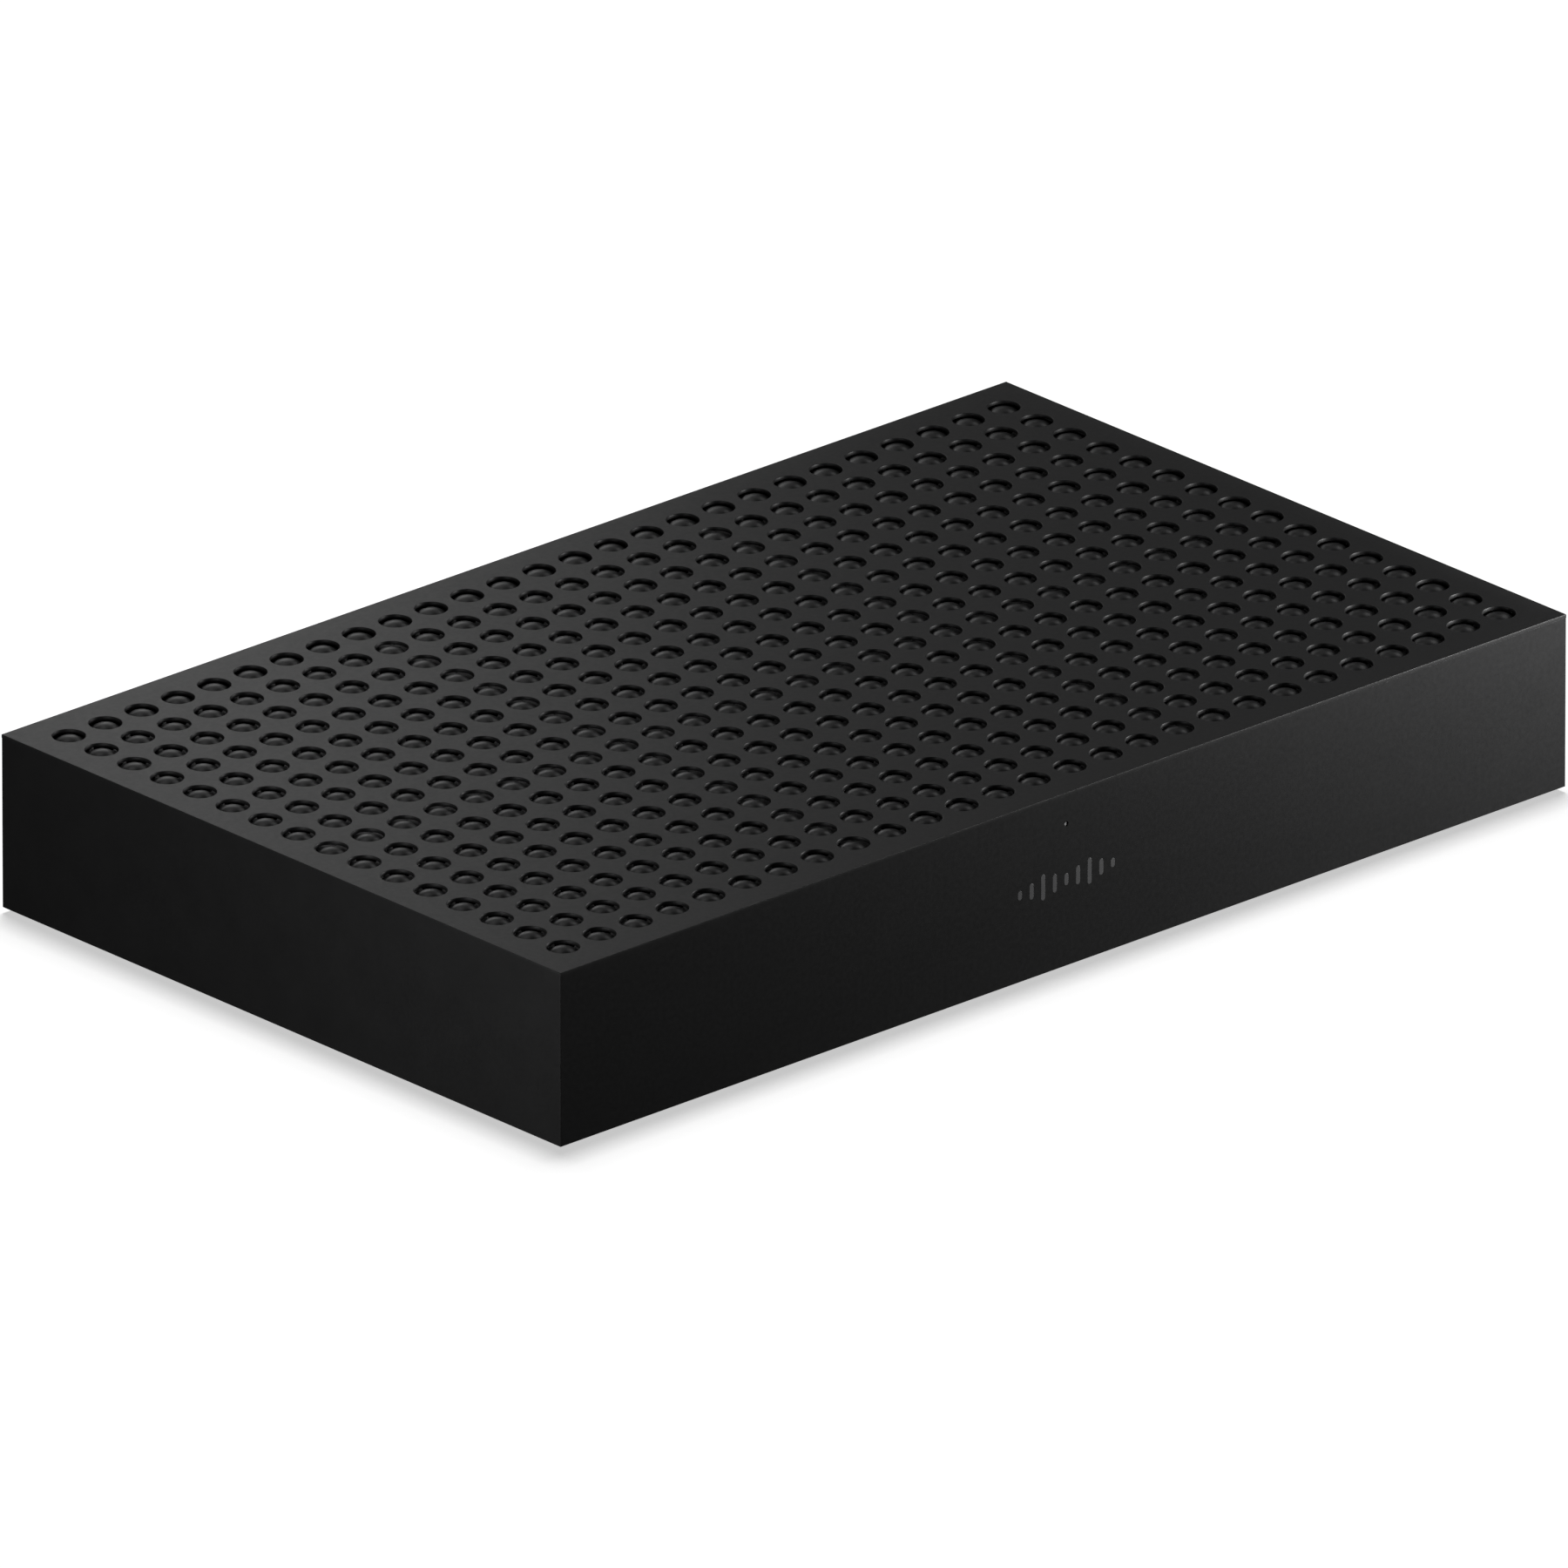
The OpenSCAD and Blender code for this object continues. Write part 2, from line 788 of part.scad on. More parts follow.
module processor_heat_sink() {
    z = board_top + shield_h;
    color([0.12, 0.12, 0.13]) {
        block([104, -50, z], [144, -12, z + 3]);
        for (x = [104:4.2:143]) block([x, -50, z + 2.5], [x + 1.6, -12, z + 14]);
    }
}

module wifi_module() {
    z = board_top;
    color([0.05, 0.2, 0.3]) block([166, -50, z + 2], [188, -20, z + 2.8]);
    color([0.75, 0.76, 0.78]) block([168, -48, z + 2.5], [186, -28, z + 5]);
    color([0.1, 0.1, 0.1]) block([166, -22, z], [188, -16, z + 4]);
}

aerial_low = 30;
aerial_high = 42;
aerial_t = 1.4;

// Two printed aerials, on the right end wall and behind the front wall
module antennas() {
    color([0.1, 0.1, 0.12]) {
        block([in_w - aerial_t, -62, aerial_low], [in_w, -17, aerial_high]);
        block([145, -in_d, aerial_low], [190, -in_d + aerial_t, aerial_high]);
    }
}

// Wires inside: aerial leads, mains leads, the supply's leads and the light board's lead
module inner_leads() {
    z = board_top;
    coax_r = 0.7;
    mains_r = 1.3;
    power_r = 1.1;
    signal_r = 0.8;
    coax_z = aerial_low + 3;
    pin_end = panel_in - 24;
    color([0.15, 0.15, 0.15]) {
        wire([182, -44, z + 5], [in_w - aerial_t - coax_r, -44, coax_z], 7, coax_r);
        wire([171, -46, z + 5], [171, -in_d + aerial_t + coax_r, coax_z], 7, coax_r);
        wire([56, -103, z], [6, light_board_y + 1 + signal_r, z + 34], 5, signal_r);
    }
    color("saddlebrown")
        for (x = [-7, 7])
            wire([inlet_x + x, 87.6, z], [inlet_x + x, pin_end - mains_r, inlet_z - 2], 6, mains_r);
    color("firebrick")
        for (y = [-60, -66, -72, -78])
            wire([psu_area[1] - 4, y, z], [amp_left_area[0] + 3, y, z], 12, power_r);
    color("wheat")
        for (y = [-62, -68, -74]) {
            wire([amp_left_area[1] - 3, y, z], [amp_right_area[0] + 3, y, z], 8, signal_r);
            wire([amp_right_area[1] - 3, y, z], [main_area[0] + 3, y, z], 8, signal_r);
        }
}

// ---- rear sockets ----

rca_seat_r = 3.95;
rca_shell_r = 4.15;

module rca_blocks() {
    color([0.06, 0.06, 0.06])
        for (x = rca_xs)
            difference() {
                union() {
                    block([x - 12, panel_in - 15, board_top], [x + 12, panel_in, rca_z + rca_pitch + 7]);
                    for (i = [-1, 1], j = [0, 1])
                        bar_y(x + i * rca_pitch / 2, rca_z + j * rca_pitch, 4.9, panel_in - 1, panel_y + 1);
                }
                for (i = [-1, 1], j = [0, 1])
                    bar_y(x + i * rca_pitch / 2, rca_z + j * rca_pitch, rca_seat_r, panel_in - 6, panel_y + 2);
            }
}

rca_end = half_d - 0.2;
rca_step = panel_y + 1;

module rca_shells() {
    color("silver")
        for (x = rca_xs, i = [-1, 1], j = [0, 1])
            difference() {
                union() {
                    bar_y(x + i * rca_pitch / 2, rca_z + j * rca_pitch, rca_seat_r, panel_in - 6, rca_step);
                    bar_y(x + i * rca_pitch / 2, rca_z + j * rca_pitch, rca_shell_r, rca_step, rca_end);
                }
                bar_y(x + i * rca_pitch / 2, rca_z + j * rca_pitch, 3.5, panel_in - 5, rca_end + 1);
            }
}

module rca_inserts() {
    color("white")
        for (x = rca_xs, i = [-1, 1], j = [0, 1])
            difference() {
                bar_y(x + i * rca_pitch / 2, rca_z + j * rca_pitch, 3.5, panel_in - 5, rca_end - 0.8);
                bar_y(x + i * rca_pitch / 2, rca_z + j * rca_pitch, 1.65, panel_y - 4, rca_end + 1);
            }
}

lan_deep = 21.4;
lan_rear = panel_y - 0.1;
lan_port_w = 11.8;
lan_port_h = 8.3;
lan_port_z = board_top + 4.4;
lan_port_deep = 12.5;

module ethernet_jacks() {
    color("silver")
        for (x = lan_xs)
            difference() {
                block([x - 8, lan_rear - lan_deep, board_top], [x + 8, lan_rear, board_top + 13.6]);
                block(
                    [x - lan_port_w / 2, lan_rear - lan_port_deep, lan_port_z],
                    [x + lan_port_w / 2, lan_rear + 1, lan_port_z + lan_port_h]
                );
                block(
                    [x - 3.1, lan_rear - lan_port_deep, board_top + 1.6],
                    [x + 3.1, lan_rear + 1, lan_port_z + 1]
                );
            }
}

// Eight sprung contacts slope down from the roof of each port
module ethernet_contacts() {
    color("gold")
        for (x = lan_xs, i = [0:7])
            translate([x + (i - 3.5) * 1.02 - 0.2, lan_rear - 2.5, lan_port_z + lan_port_h])
                rotate([-165, 0, 0])
                    cube([0.4, 9, 0.35]);
}

shutter_y = panel_y - 1;
shutter_z = optical_z + 3.1;
shutter_pin_r = 0.5;
turning_gap = 0.3;

module optical_jack() {
    face = panel_y + 0.1;
    color([0.08, 0.08, 0.08])
        difference() {
            block([optical_x - 4.8, face - 14, board_top], [optical_x + 4.8, face, board_top + 10.4]);
            block(
                [optical_x - 3.4, face - 10, optical_z - 3.4],
                [optical_x + 3.4, face + 1, optical_z + 4.2]
            );
            translate([optical_x - 4.2, shutter_y, shutter_z])
                rotate([0, 90, 0])
                    cylinder(r = shutter_pin_r + turning_gap, h = 8.4);
        }
}

// A sprung flap that the optical plug pushes inwards
module optical_shutter() {
    color([0.15, 0.15, 0.15]) {
        translate([optical_x - 3.9, shutter_y, shutter_z])
            rotate([0, 90, 0])
                cylinder(r = shutter_pin_r, h = 7.8);
        block(
            [optical_x - 3.1, shutter_y - 0.4, optical_z - 3.1],
            [optical_x + 3.1, shutter_y + 0.4, shutter_z]
        );
    }
}

module trigger_jacks() {
    color([0.08, 0.08, 0.08])
        for (x = trigger_xs)
            difference() {
                union() {
                    block([x - 4, panel_in - 13, board_top], [x + 4, panel_in, board_top + 8]);
                    bar_y(x, trigger_z, 3, panel_in - 1, panel_y + 1.4);
                }
                bar_y(x, trigger_z, 1.8, panel_y + 1.4 - 14, panel_y + 3);
            }
}

module join_button() {
    color([0.2, 0.2, 0.2]) {
        bar_y(button_x, button_z, button_r, panel_in - 2, panel_y + 1.5);
        bar_y(button_x, button_z, button_r + 1, panel_in - 2.4, panel_in - 0.4);
    }
}

module button_switch() {
    y = panel_in - 2.4 - button_travel - 0.2;
    color([0.15, 0.15, 0.15]) {
        block([button_x - 3, y - 5, board_top], [button_x + 3, y - 1.2, board_top + 8.4]);
        bar_y(button_x, button_z, 1.6, y - 2, y);
    }
}

// ---- every piece, one name each ----

top_plate();
dome_trays();
wall_frame();
front_badge();
base_plate();
rear_panel();
feet();
mount_inserts();
base_screws();
panel_screws();
standoffs();
board_screws();
light_pipe();
light_board();
psu_board();
fuse();
emi_choke();
film_capacitors();
bridge_heat_sink();
bulk_capacitors();
pfc_inductor();
main_transformer();
rectifier_heat_sink();
supply_capacitors();
mains_inlet();
mains_pins();
amp_board_left();
amp_board_right();
amp_heat_sink_left();
amp_heat_sink_right();
amp_chips();
thermal_pads();
output_inductors();
speaker_headers();
header_pins();
speaker_plug_1();
speaker_plug_2();
speaker_plug_3();
speaker_plug_4();
plug_screws_1();
plug_screws_2();
plug_screws_3();
plug_screws_4();
main_board();
control_chips();
processor_shield();
processor_heat_sink();
rca_blocks();
rca_shells();
rca_inserts();
ethernet_jacks();
ethernet_contacts();
optical_jack();
optical_shutter();
trigger_jacks();
join_button();
button_switch();
wifi_module();
antennas();
inner_leads();
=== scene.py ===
import json
import math

import bmesh
import bpy
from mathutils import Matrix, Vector


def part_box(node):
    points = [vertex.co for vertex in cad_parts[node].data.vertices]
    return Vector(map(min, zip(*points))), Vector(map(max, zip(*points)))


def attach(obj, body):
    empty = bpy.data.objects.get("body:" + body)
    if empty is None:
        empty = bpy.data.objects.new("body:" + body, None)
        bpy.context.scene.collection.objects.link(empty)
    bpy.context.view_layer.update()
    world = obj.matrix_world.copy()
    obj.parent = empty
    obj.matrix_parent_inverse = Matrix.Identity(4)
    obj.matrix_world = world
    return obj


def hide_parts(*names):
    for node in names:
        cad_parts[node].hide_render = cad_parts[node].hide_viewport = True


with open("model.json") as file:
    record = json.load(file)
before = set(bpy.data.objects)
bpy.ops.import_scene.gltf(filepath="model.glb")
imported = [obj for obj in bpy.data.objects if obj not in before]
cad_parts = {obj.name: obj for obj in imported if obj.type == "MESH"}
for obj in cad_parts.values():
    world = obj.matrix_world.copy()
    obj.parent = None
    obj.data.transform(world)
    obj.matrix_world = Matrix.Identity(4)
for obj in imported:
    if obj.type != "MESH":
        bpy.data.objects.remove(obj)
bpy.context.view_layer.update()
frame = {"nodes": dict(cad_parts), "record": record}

mm = 0.001
record = frame["record"]
print("frame loaded:", len(frame["nodes"]), "nodes")


cameraSetup = {
    "azimuth": -42.502,    # degrees, 0 looks along +Y
    "elevation": 22.82,    # degrees above the floor
    "distance": 20.7,      # metres from the aim point
    "lens": 1495.5,        # long lens: the edges stay almost parallel
    "nearest": 0.1,
    "furthest": 60.0,
    "aim": (-0.00038, 0.00035, 0.02364),
}


def makeCamera(setup):
    az, el = math.radians(setup["azimuth"]), math.radians(setup["elevation"])
    back = Vector((math.sin(az) * math.cos(el), -math.cos(az) * math.cos(el), math.sin(el)))
    data = bpy.data.cameras.new("shelfCamera")
    data.lens = setup["lens"]
    data.clip_start, data.clip_end = setup["nearest"], setup["furthest"]
    cam = bpy.data.objects.new("shelfCamera", data)
    cam.location = Vector(setup["aim"]) + back * setup["distance"]
    cam.rotation_mode = "QUATERNION"
    cam.rotation_quaternion = (-back).to_track_quat("-Z", "Y")
    bpy.context.scene.collection.objects.link(cam)
    bpy.context.scene.camera = cam
    return cam


makeCamera(cameraSetup)


def newGroup(name, inputs, outputs):
    group = bpy.data.node_groups.new(name, "ShaderNodeTree")
    for label, kind, value in inputs:
        socket = group.interface.new_socket(name=label, in_out="INPUT", socket_type=kind)
        if value is not None:
            socket.default_value = value
    for label, kind in outputs:
        group.interface.new_socket(name=label, in_out="OUTPUT", socket_type=kind)
    start = group.nodes.new("NodeGroupInput")
    end = group.nodes.new("NodeGroupOutput")
    return group, start, end


def addNode(tree, kind, **values):
    node = tree.nodes.new(kind)
    for key, value in values.items():
        setattr(node, key, value)
    return node


grainShape = {
    "fineDetail": 2.0,
    "fineRoughness": 0.55,
    "coarseDetail": 3.0,
    "coarseScale": 0.12,   # of the fine grain's scale
}


def makeGrainGroup(shape):
    # fine moulded or coated grain: a height and a speckle mask
    group, start, end = newGroup(
        "fineGrain",
        [("Grain Size", "NodeSocketFloat", 2500.0), ("Coarse Share", "NodeSocketFloat", 0.3)],
        [("Height", "NodeSocketFloat"), ("Speckle", "NodeSocketFloat")])
    link = group.links.new
    point = addNode(group, "ShaderNodeTexCoord").outputs["Object"]
    fine = addNode(group, "ShaderNodeTexNoise")
    fine.inputs["Detail"].default_value = shape["fineDetail"]
    fine.inputs["Roughness"].default_value = shape["fineRoughness"]
    link(point, fine.inputs["Vector"])
    link(start.outputs["Grain Size"], fine.inputs["Scale"])
    coarseScale = addNode(group, "ShaderNodeMath", operation="MULTIPLY")
    coarseScale.inputs[1].default_value = shape["coarseScale"]
    link(start.outputs["Grain Size"], coarseScale.inputs[0])
    coarse = addNode(group, "ShaderNodeTexNoise")
    coarse.inputs["Detail"].default_value = shape["coarseDetail"]
    link(point, coarse.inputs["Vector"])
    link(coarseScale.outputs[0], coarse.inputs["Scale"])
    blend = addNode(group, "ShaderNodeMix", data_type="FLOAT")
    link(start.outputs["Coarse Share"], blend.inputs[0])
    link(fine.outputs[0], blend.inputs[2])
    link(coarse.outputs[0], blend.inputs[3])
    link(blend.outputs[0], end.inputs["Height"])
    link(coarse.outputs[0], end.inputs["Speckle"])
    return group


wearShape = {
    "starts": 0.52,        # pointiness where wear starts to show
    "full": 0.62,
    "patchDetail": 4.0,
}


def makeWearGroup(shape):
    # lighter edges in patches, where a part is handled
    group, start, end = newGroup(
        "edgeWear",
        [("Amount", "NodeSocketFloat", 0.3), ("Patchiness", "NodeSocketFloat", 60.0)],
        [("Wear", "NodeSocketFloat")])
    link = group.links.new
    ramp = addNode(group, "ShaderNodeMapRange", clamp=True)
    ramp.inputs["From Min"].default_value = shape["starts"]
    ramp.inputs["From Max"].default_value = shape["full"]
    link(addNode(group, "ShaderNodeNewGeometry").outputs["Pointiness"], ramp.inputs["Value"])
    patches = addNode(group, "ShaderNodeTexNoise")
    patches.inputs["Detail"].default_value = shape["patchDetail"]
    link(addNode(group, "ShaderNodeTexCoord").outputs["Object"], patches.inputs["Vector"])
    link(start.outputs["Patchiness"], patches.inputs["Scale"])
    gate = addNode(group, "ShaderNodeMath", operation="MULTIPLY")
    link(ramp.outputs[0], gate.inputs[0])
    link(patches.outputs[0], gate.inputs[1])
    level = addNode(group, "ShaderNodeMath", operation="MULTIPLY")
    link(gate.outputs[0], level.inputs[0])
    link(start.outputs["Amount"], level.inputs[1])
    link(level.outputs[0], end.inputs["Wear"])
    return group


def makeStreakGroup():
    # drawn or brushed metal: long thin streaks along one axis
    group, start, end = newGroup(
        "drawnStreaks",
        [("Stretch", "NodeSocketVector", (1.0, 1.0, 1.0)),
         ("Density", "NodeSocketFloat", 900.0)],
        [("Height", "NodeSocketFloat")])
    link = group.links.new
    scale = addNode(group, "ShaderNodeVectorMath", operation="MULTIPLY")
    link(addNode(group, "ShaderNodeTexCoord").outputs["Object"], scale.inputs[0])
    link(start.outputs["Stretch"], scale.inputs[1])
    noise = addNode(group, "ShaderNodeTexNoise")
    noise.inputs["Detail"].default_value = 3.0
    link(scale.outputs[0], noise.inputs["Vector"])
    link(start.outputs["Density"], noise.inputs["Scale"])
    link(noise.outputs[0], end.inputs["Height"])
    return group


def makeTurnsGroup():
    # wound wire: two ridges for each of Turns, all round an upright axis through Centre
    group, start, end = newGroup(
        "woundTurns",
        [("Centre", "NodeSocketVector", (0.0, 0.0, 0.0)), ("Turns", "NodeSocketFloat", 40.0)],
        [("Height", "NodeSocketFloat")])
    link = group.links.new
    away = addNode(group, "ShaderNodeVectorMath", operation="SUBTRACT")
    link(addNode(group, "ShaderNodeTexCoord").outputs["Object"], away.inputs[0])
    link(start.outputs["Centre"], away.inputs[1])
    parts = addNode(group, "ShaderNodeSeparateXYZ")
    link(away.outputs[0], parts.inputs[0])
    angle = addNode(group, "ShaderNodeMath", operation="ARCTAN2")
    link(parts.outputs["Y"], angle.inputs[0])
    link(parts.outputs["X"], angle.inputs[1])
    count = addNode(group, "ShaderNodeMath", operation="MULTIPLY")
    link(angle.outputs[0], count.inputs[0])
    link(start.outputs["Turns"], count.inputs[1])
    wave = addNode(group, "ShaderNodeMath", operation="SINE")
    link(count.outputs[0], wave.inputs[0])
    level = addNode(group, "ShaderNodeMath", operation="ABSOLUTE")
    link(wave.outputs[0], level.inputs[0])
    link(level.outputs[0], end.inputs["Height"])
    return group


grainGroup = makeGrainGroup(grainShape)
wearGroup = makeWearGroup(wearShape)
streakGroup = makeStreakGroup()
turnsGroup = makeTurnsGroup()


coating = {
    "coarseShare": 0.3,    # of coarse grain in the bump
    "wornColor": (0.12, 0.12, 0.12),
    "wornPatches": 80.0,
    "bumpDepth": 0.05 * mm,
    "speckleRange": (0.3, 0.7),
}

finishBook = {
    # color and tint: the two shades that the grain's speckle mixes; spread: how far roughness
    # varies; grain: cells per metre; bump: its strength; wear: how light the worn edges get
    "coverSatin": dict(color=(0.0100, 0.0100, 0.0102), tint=(0.0112, 0.0112, 0.0115),
                       rough=0.46, spread=0.05, grain=5200, bump=0.03, specular=0.5, wear=0.10),
    "wallSatin": dict(color=(0.0100, 0.0100, 0.0102), tint=(0.0112, 0.0112, 0.0115),
                      rough=0.46, spread=0.05, grain=5200, bump=0.03, specular=0.5, wear=0.10),
    "domeSatin": dict(color=(0.0100, 0.0100, 0.0102), tint=(0.0115, 0.0115, 0.0118),
                      rough=0.38, spread=0.04, grain=4200, bump=0.02, specular=0.5, wear=0.0),
    "badgeGrey": dict(color=(0.13, 0.13, 0.132), tint=(0.145, 0.145, 0.147),
                      rough=0.42, spread=0.05, grain=6000, bump=0.04, specular=0.5, wear=0.0),
    "basePowder": dict(color=(0.016, 0.016, 0.017), tint=(0.022, 0.022, 0.023),
                       rough=0.62, spread=0.12, grain=1500, bump=0.35, specular=0.45, wear=0.3),
    "panelPowder": dict(color=(0.013, 0.013, 0.014), tint=(0.018, 0.018, 0.019),
                        rough=0.58, spread=0.1, grain=1900, bump=0.22, specular=0.45, wear=0.2),
    "footRubber": dict(color=(0.012, 0.012, 0.012), tint=(0.018, 0.018, 0.018),
                       rough=0.82, spread=0.1, grain=1600, bump=0.3, specular=0.3, wear=0.0),
    "socketBlack": dict(color=(0.014, 0.014, 0.014), tint=(0.018, 0.018, 0.018),
                        rough=0.42, spread=0.1, grain=2800, bump=0.1, specular=0.5, wear=0.15),
    "chipEpoxy": dict(color=(0.018, 0.018, 0.02), tint=(0.03, 0.03, 0.032),
                      rough=0.68, spread=0.1, grain=3000, bump=0.2, specular=0.35, wear=0.0),
    "terminalGreen": dict(color=(0.012, 0.16, 0.05), tint=(0.018, 0.19, 0.065),
                          rough=0.4, spread=0.08, grain=2600, bump=0.08, specular=0.5, wear=0.2),
    "insertWhite": dict(color=(0.72, 0.71, 0.67), tint=(0.78, 0.77, 0.74),
                        rough=0.4, spread=0.08, grain=2600, bump=0.06, specular=0.5, wear=0.0),
    "insertRed": dict(color=(0.42, 0.012, 0.012), tint=(0.5, 0.02, 0.018),
                      rough=0.38, spread=0.08, grain=2600, bump=0.06, specular=0.5, wear=0.0),
    "capSleeve": dict(color=(0.012, 0.02, 0.06), tint=(0.02, 0.03, 0.08),
                      rough=0.3, spread=0.08, grain=700, bump=0.06, specular=0.5, wear=0.0),
    "filmYellow": dict(color=(0.5, 0.3, 0.02), tint=(0.56, 0.35, 0.03),
                       rough=0.42, spread=0.08, grain=1800, bump=0.08, specular=0.5, wear=0.0),
    "ferriteGrey": dict(color=(0.035, 0.034, 0.033), tint=(0.06, 0.058, 0.055),
                        rough=0.7, spread=0.15, grain=1200, bump=0.35, specular=0.4, wear=0.3),
    "powderCore": dict(color=(0.045, 0.045, 0.048), tint=(0.065, 0.065, 0.068),
                       rough=0.62, spread=0.12, grain=1700, bump=0.3, specular=0.4, wear=0.2),
    "padBlue": dict(color=(0.12, 0.2, 0.3), tint=(0.15, 0.24, 0.34),
                    rough=0.75, spread=0.1, grain=1800, bump=0.15, specular=0.35, wear=0.0),
    "wireJacket": dict(color=(0.03, 0.012, 0.012), tint=(0.05, 0.02, 0.02),
                       rough=0.45, spread=0.08, grain=1500, bump=0.05, specular=0.5, wear=0.0),
    "aerialFilm": dict(color=(0.03, 0.022, 0.015), tint=(0.07, 0.045, 0.02),
                       rough=0.4, spread=0.1, grain=300, bump=0.05, specular=0.5, wear=0.0),
}

metalBook = {
    # stretch and density: the drawing streaks' direction and fineness
    "brightNickel": dict(color=(0.66, 0.64, 0.6), tint=(0.72, 0.71, 0.68), rough=0.2, spread=0.08,
                         stretch=(1.0, 0.06, 1.0), density=1600, bump=0.03),
    "zincScrew": dict(color=(0.5, 0.5, 0.5), tint=(0.62, 0.61, 0.58), rough=0.32, spread=0.12,
                      stretch=(1.0, 1.0, 1.0), density=700, bump=0.05),
    "turnedBrass": dict(color=(0.62, 0.43, 0.16), tint=(0.7, 0.5, 0.22), rough=0.3, spread=0.1,
                        stretch=(0.1, 0.1, 1.0), density=1800, bump=0.05),
    "goldContact": dict(color=(0.8, 0.56, 0.2), tint=(0.85, 0.62, 0.26), rough=0.22, spread=0.06,
                        stretch=(1.0, 0.05, 1.0), density=1500, bump=0.03),
    "drawnAluminium": dict(color=(0.6, 0.61, 0.62), tint=(0.7, 0.71, 0.72), rough=0.34, spread=0.1,
                           stretch=(1.0, 0.03, 1.0), density=900, bump=0.06),
    "blackAnodised": dict(color=(0.03, 0.03, 0.032), tint=(0.045, 0.045, 0.048), rough=0.42,
                          spread=0.1, stretch=(1.0, 0.03, 1.0), density=900, bump=0.08),
    "tinnedSheet": dict(color=(0.58, 0.58, 0.57), tint=(0.68, 0.68, 0.67), rough=0.3, spread=0.12,
                        stretch=(0.08, 1.0, 1.0), density=600, bump=0.04),
    "blackScrew": dict(color=(0.02, 0.02, 0.02), tint=(0.035, 0.035, 0.035), rough=0.38,
                       spread=0.1, stretch=(1.0, 1.0, 1.0), density=700, bump=0.05),
}


def newMaterial(name):
    mat = bpy.data.materials.new(name)
    mat.use_nodes = True
    tree = mat.node_tree
    shader = tree.nodes["Principled BSDF"]
    return mat, tree, shader


def placeGroup(tree, group, **values):
    # Grain_Size=5 sets the group's input "Grain Size"
    node = addNode(tree, "ShaderNodeGroup", node_tree=group)
    for key, value in values.items():
        node.inputs[key.replace("_", " ")].default_value = value
    return node


def mixColors(tree, factor, colorA, colorB):
    mix = addNode(tree, "ShaderNodeMix", data_type="RGBA")
    tree.links.new(factor, mix.inputs[0])
    mix.inputs[6].default_value = (*colorA, 1.0)
    mix.inputs[7].default_value = (*colorB, 1.0)
    return mix


def spreadValue(tree, source, middle, spread):
    ramp = addNode(tree, "ShaderNodeMapRange", clamp=True)
    ramp.inputs["From Min"].default_value = coating["speckleRange"][0]
    ramp.inputs["From Max"].default_value = coating["speckleRange"][1]
    ramp.inputs["To Min"].default_value = middle - spread / 2
    ramp.inputs["To Max"].default_value = middle + spread / 2
    tree.links.new(source, ramp.inputs["Value"])
    return ramp.outputs[0]


def addBump(tree, shader, height, strength, distance):
    bump = addNode(tree, "ShaderNodeBump")
    bump.inputs["Strength"].default_value = strength
    bump.inputs["Distance"].default_value = distance
    tree.links.new(height, bump.inputs["Height"])
    tree.links.new(bump.outputs[0], shader.inputs["Normal"])
    return bump


def makePlastic(name, spec):
    mat, tree, shader = newMaterial(name)
    link = tree.links.new
    grain = placeGroup(tree, grainGroup, Grain_Size=float(spec["grain"]),
                       Coarse_Share=coating["coarseShare"])
    color = mixColors(tree, grain.outputs["Speckle"], spec["color"], spec["tint"])
    result = color.outputs[2]
    if spec["wear"] > 0:
        wear = placeGroup(tree, wearGroup, Amount=spec["wear"],
                          Patchiness=coating["wornPatches"])
        worn = mixColors(tree, wear.outputs["Wear"], spec["color"], coating["wornColor"])
        link(result, worn.inputs[6])
        result = worn.outputs[2]
    link(result, shader.inputs["Base Color"])
    link(spreadValue(tree, grain.outputs["Speckle"], spec["rough"], spec["spread"]),
         shader.inputs["Roughness"])
    shader.inputs["Specular IOR Level"].default_value = spec["specular"]
    addBump(tree, shader, grain.outputs["Height"], spec["bump"], coating["bumpDepth"])
    return mat


def makeMetal(name, spec):
    mat, tree, shader = newMaterial(name)
    link = tree.links.new
    streaks = placeGroup(tree, streakGroup, Stretch=spec["stretch"],
                         Density=float(spec["density"]))
    color = mixColors(tree, streaks.outputs["Height"], spec["color"], spec["tint"])
    link(color.outputs[2], shader.inputs["Base Color"])
    link(spreadValue(tree, streaks.outputs["Height"], spec["rough"], spec["spread"]),
         shader.inputs["Roughness"])
    shader.inputs["Metallic"].default_value = 1.0
    addBump(tree, shader, streaks.outputs["Height"], spec["bump"], coating["bumpDepth"])
    return mat


finish = {}
for name, spec in finishBook.items():
    finish[name] = makePlastic(name, spec)
for name, spec in metalBook.items():
    finish[name] = makeMetal(name, spec)


boardLook = {
    "tracksPerMetre": 210.0,
    "trackGap": 0.035,
    "trackLength": 0.9,
    "trackWidth": 0.22,
    "mask": (0.004, 0.045, 0.018),
    "maskOverCopper": (0.006, 0.06, 0.024),
    "trackEdge": (0.012, 0.1, 0.045),
    "grain": 900.0,
    "coarseShare": 0.5,
    "rough": 0.3,
    "spread": 0.1,
    "bump": 0.25,
    "bumpDepth": 0.03 * mm,
}


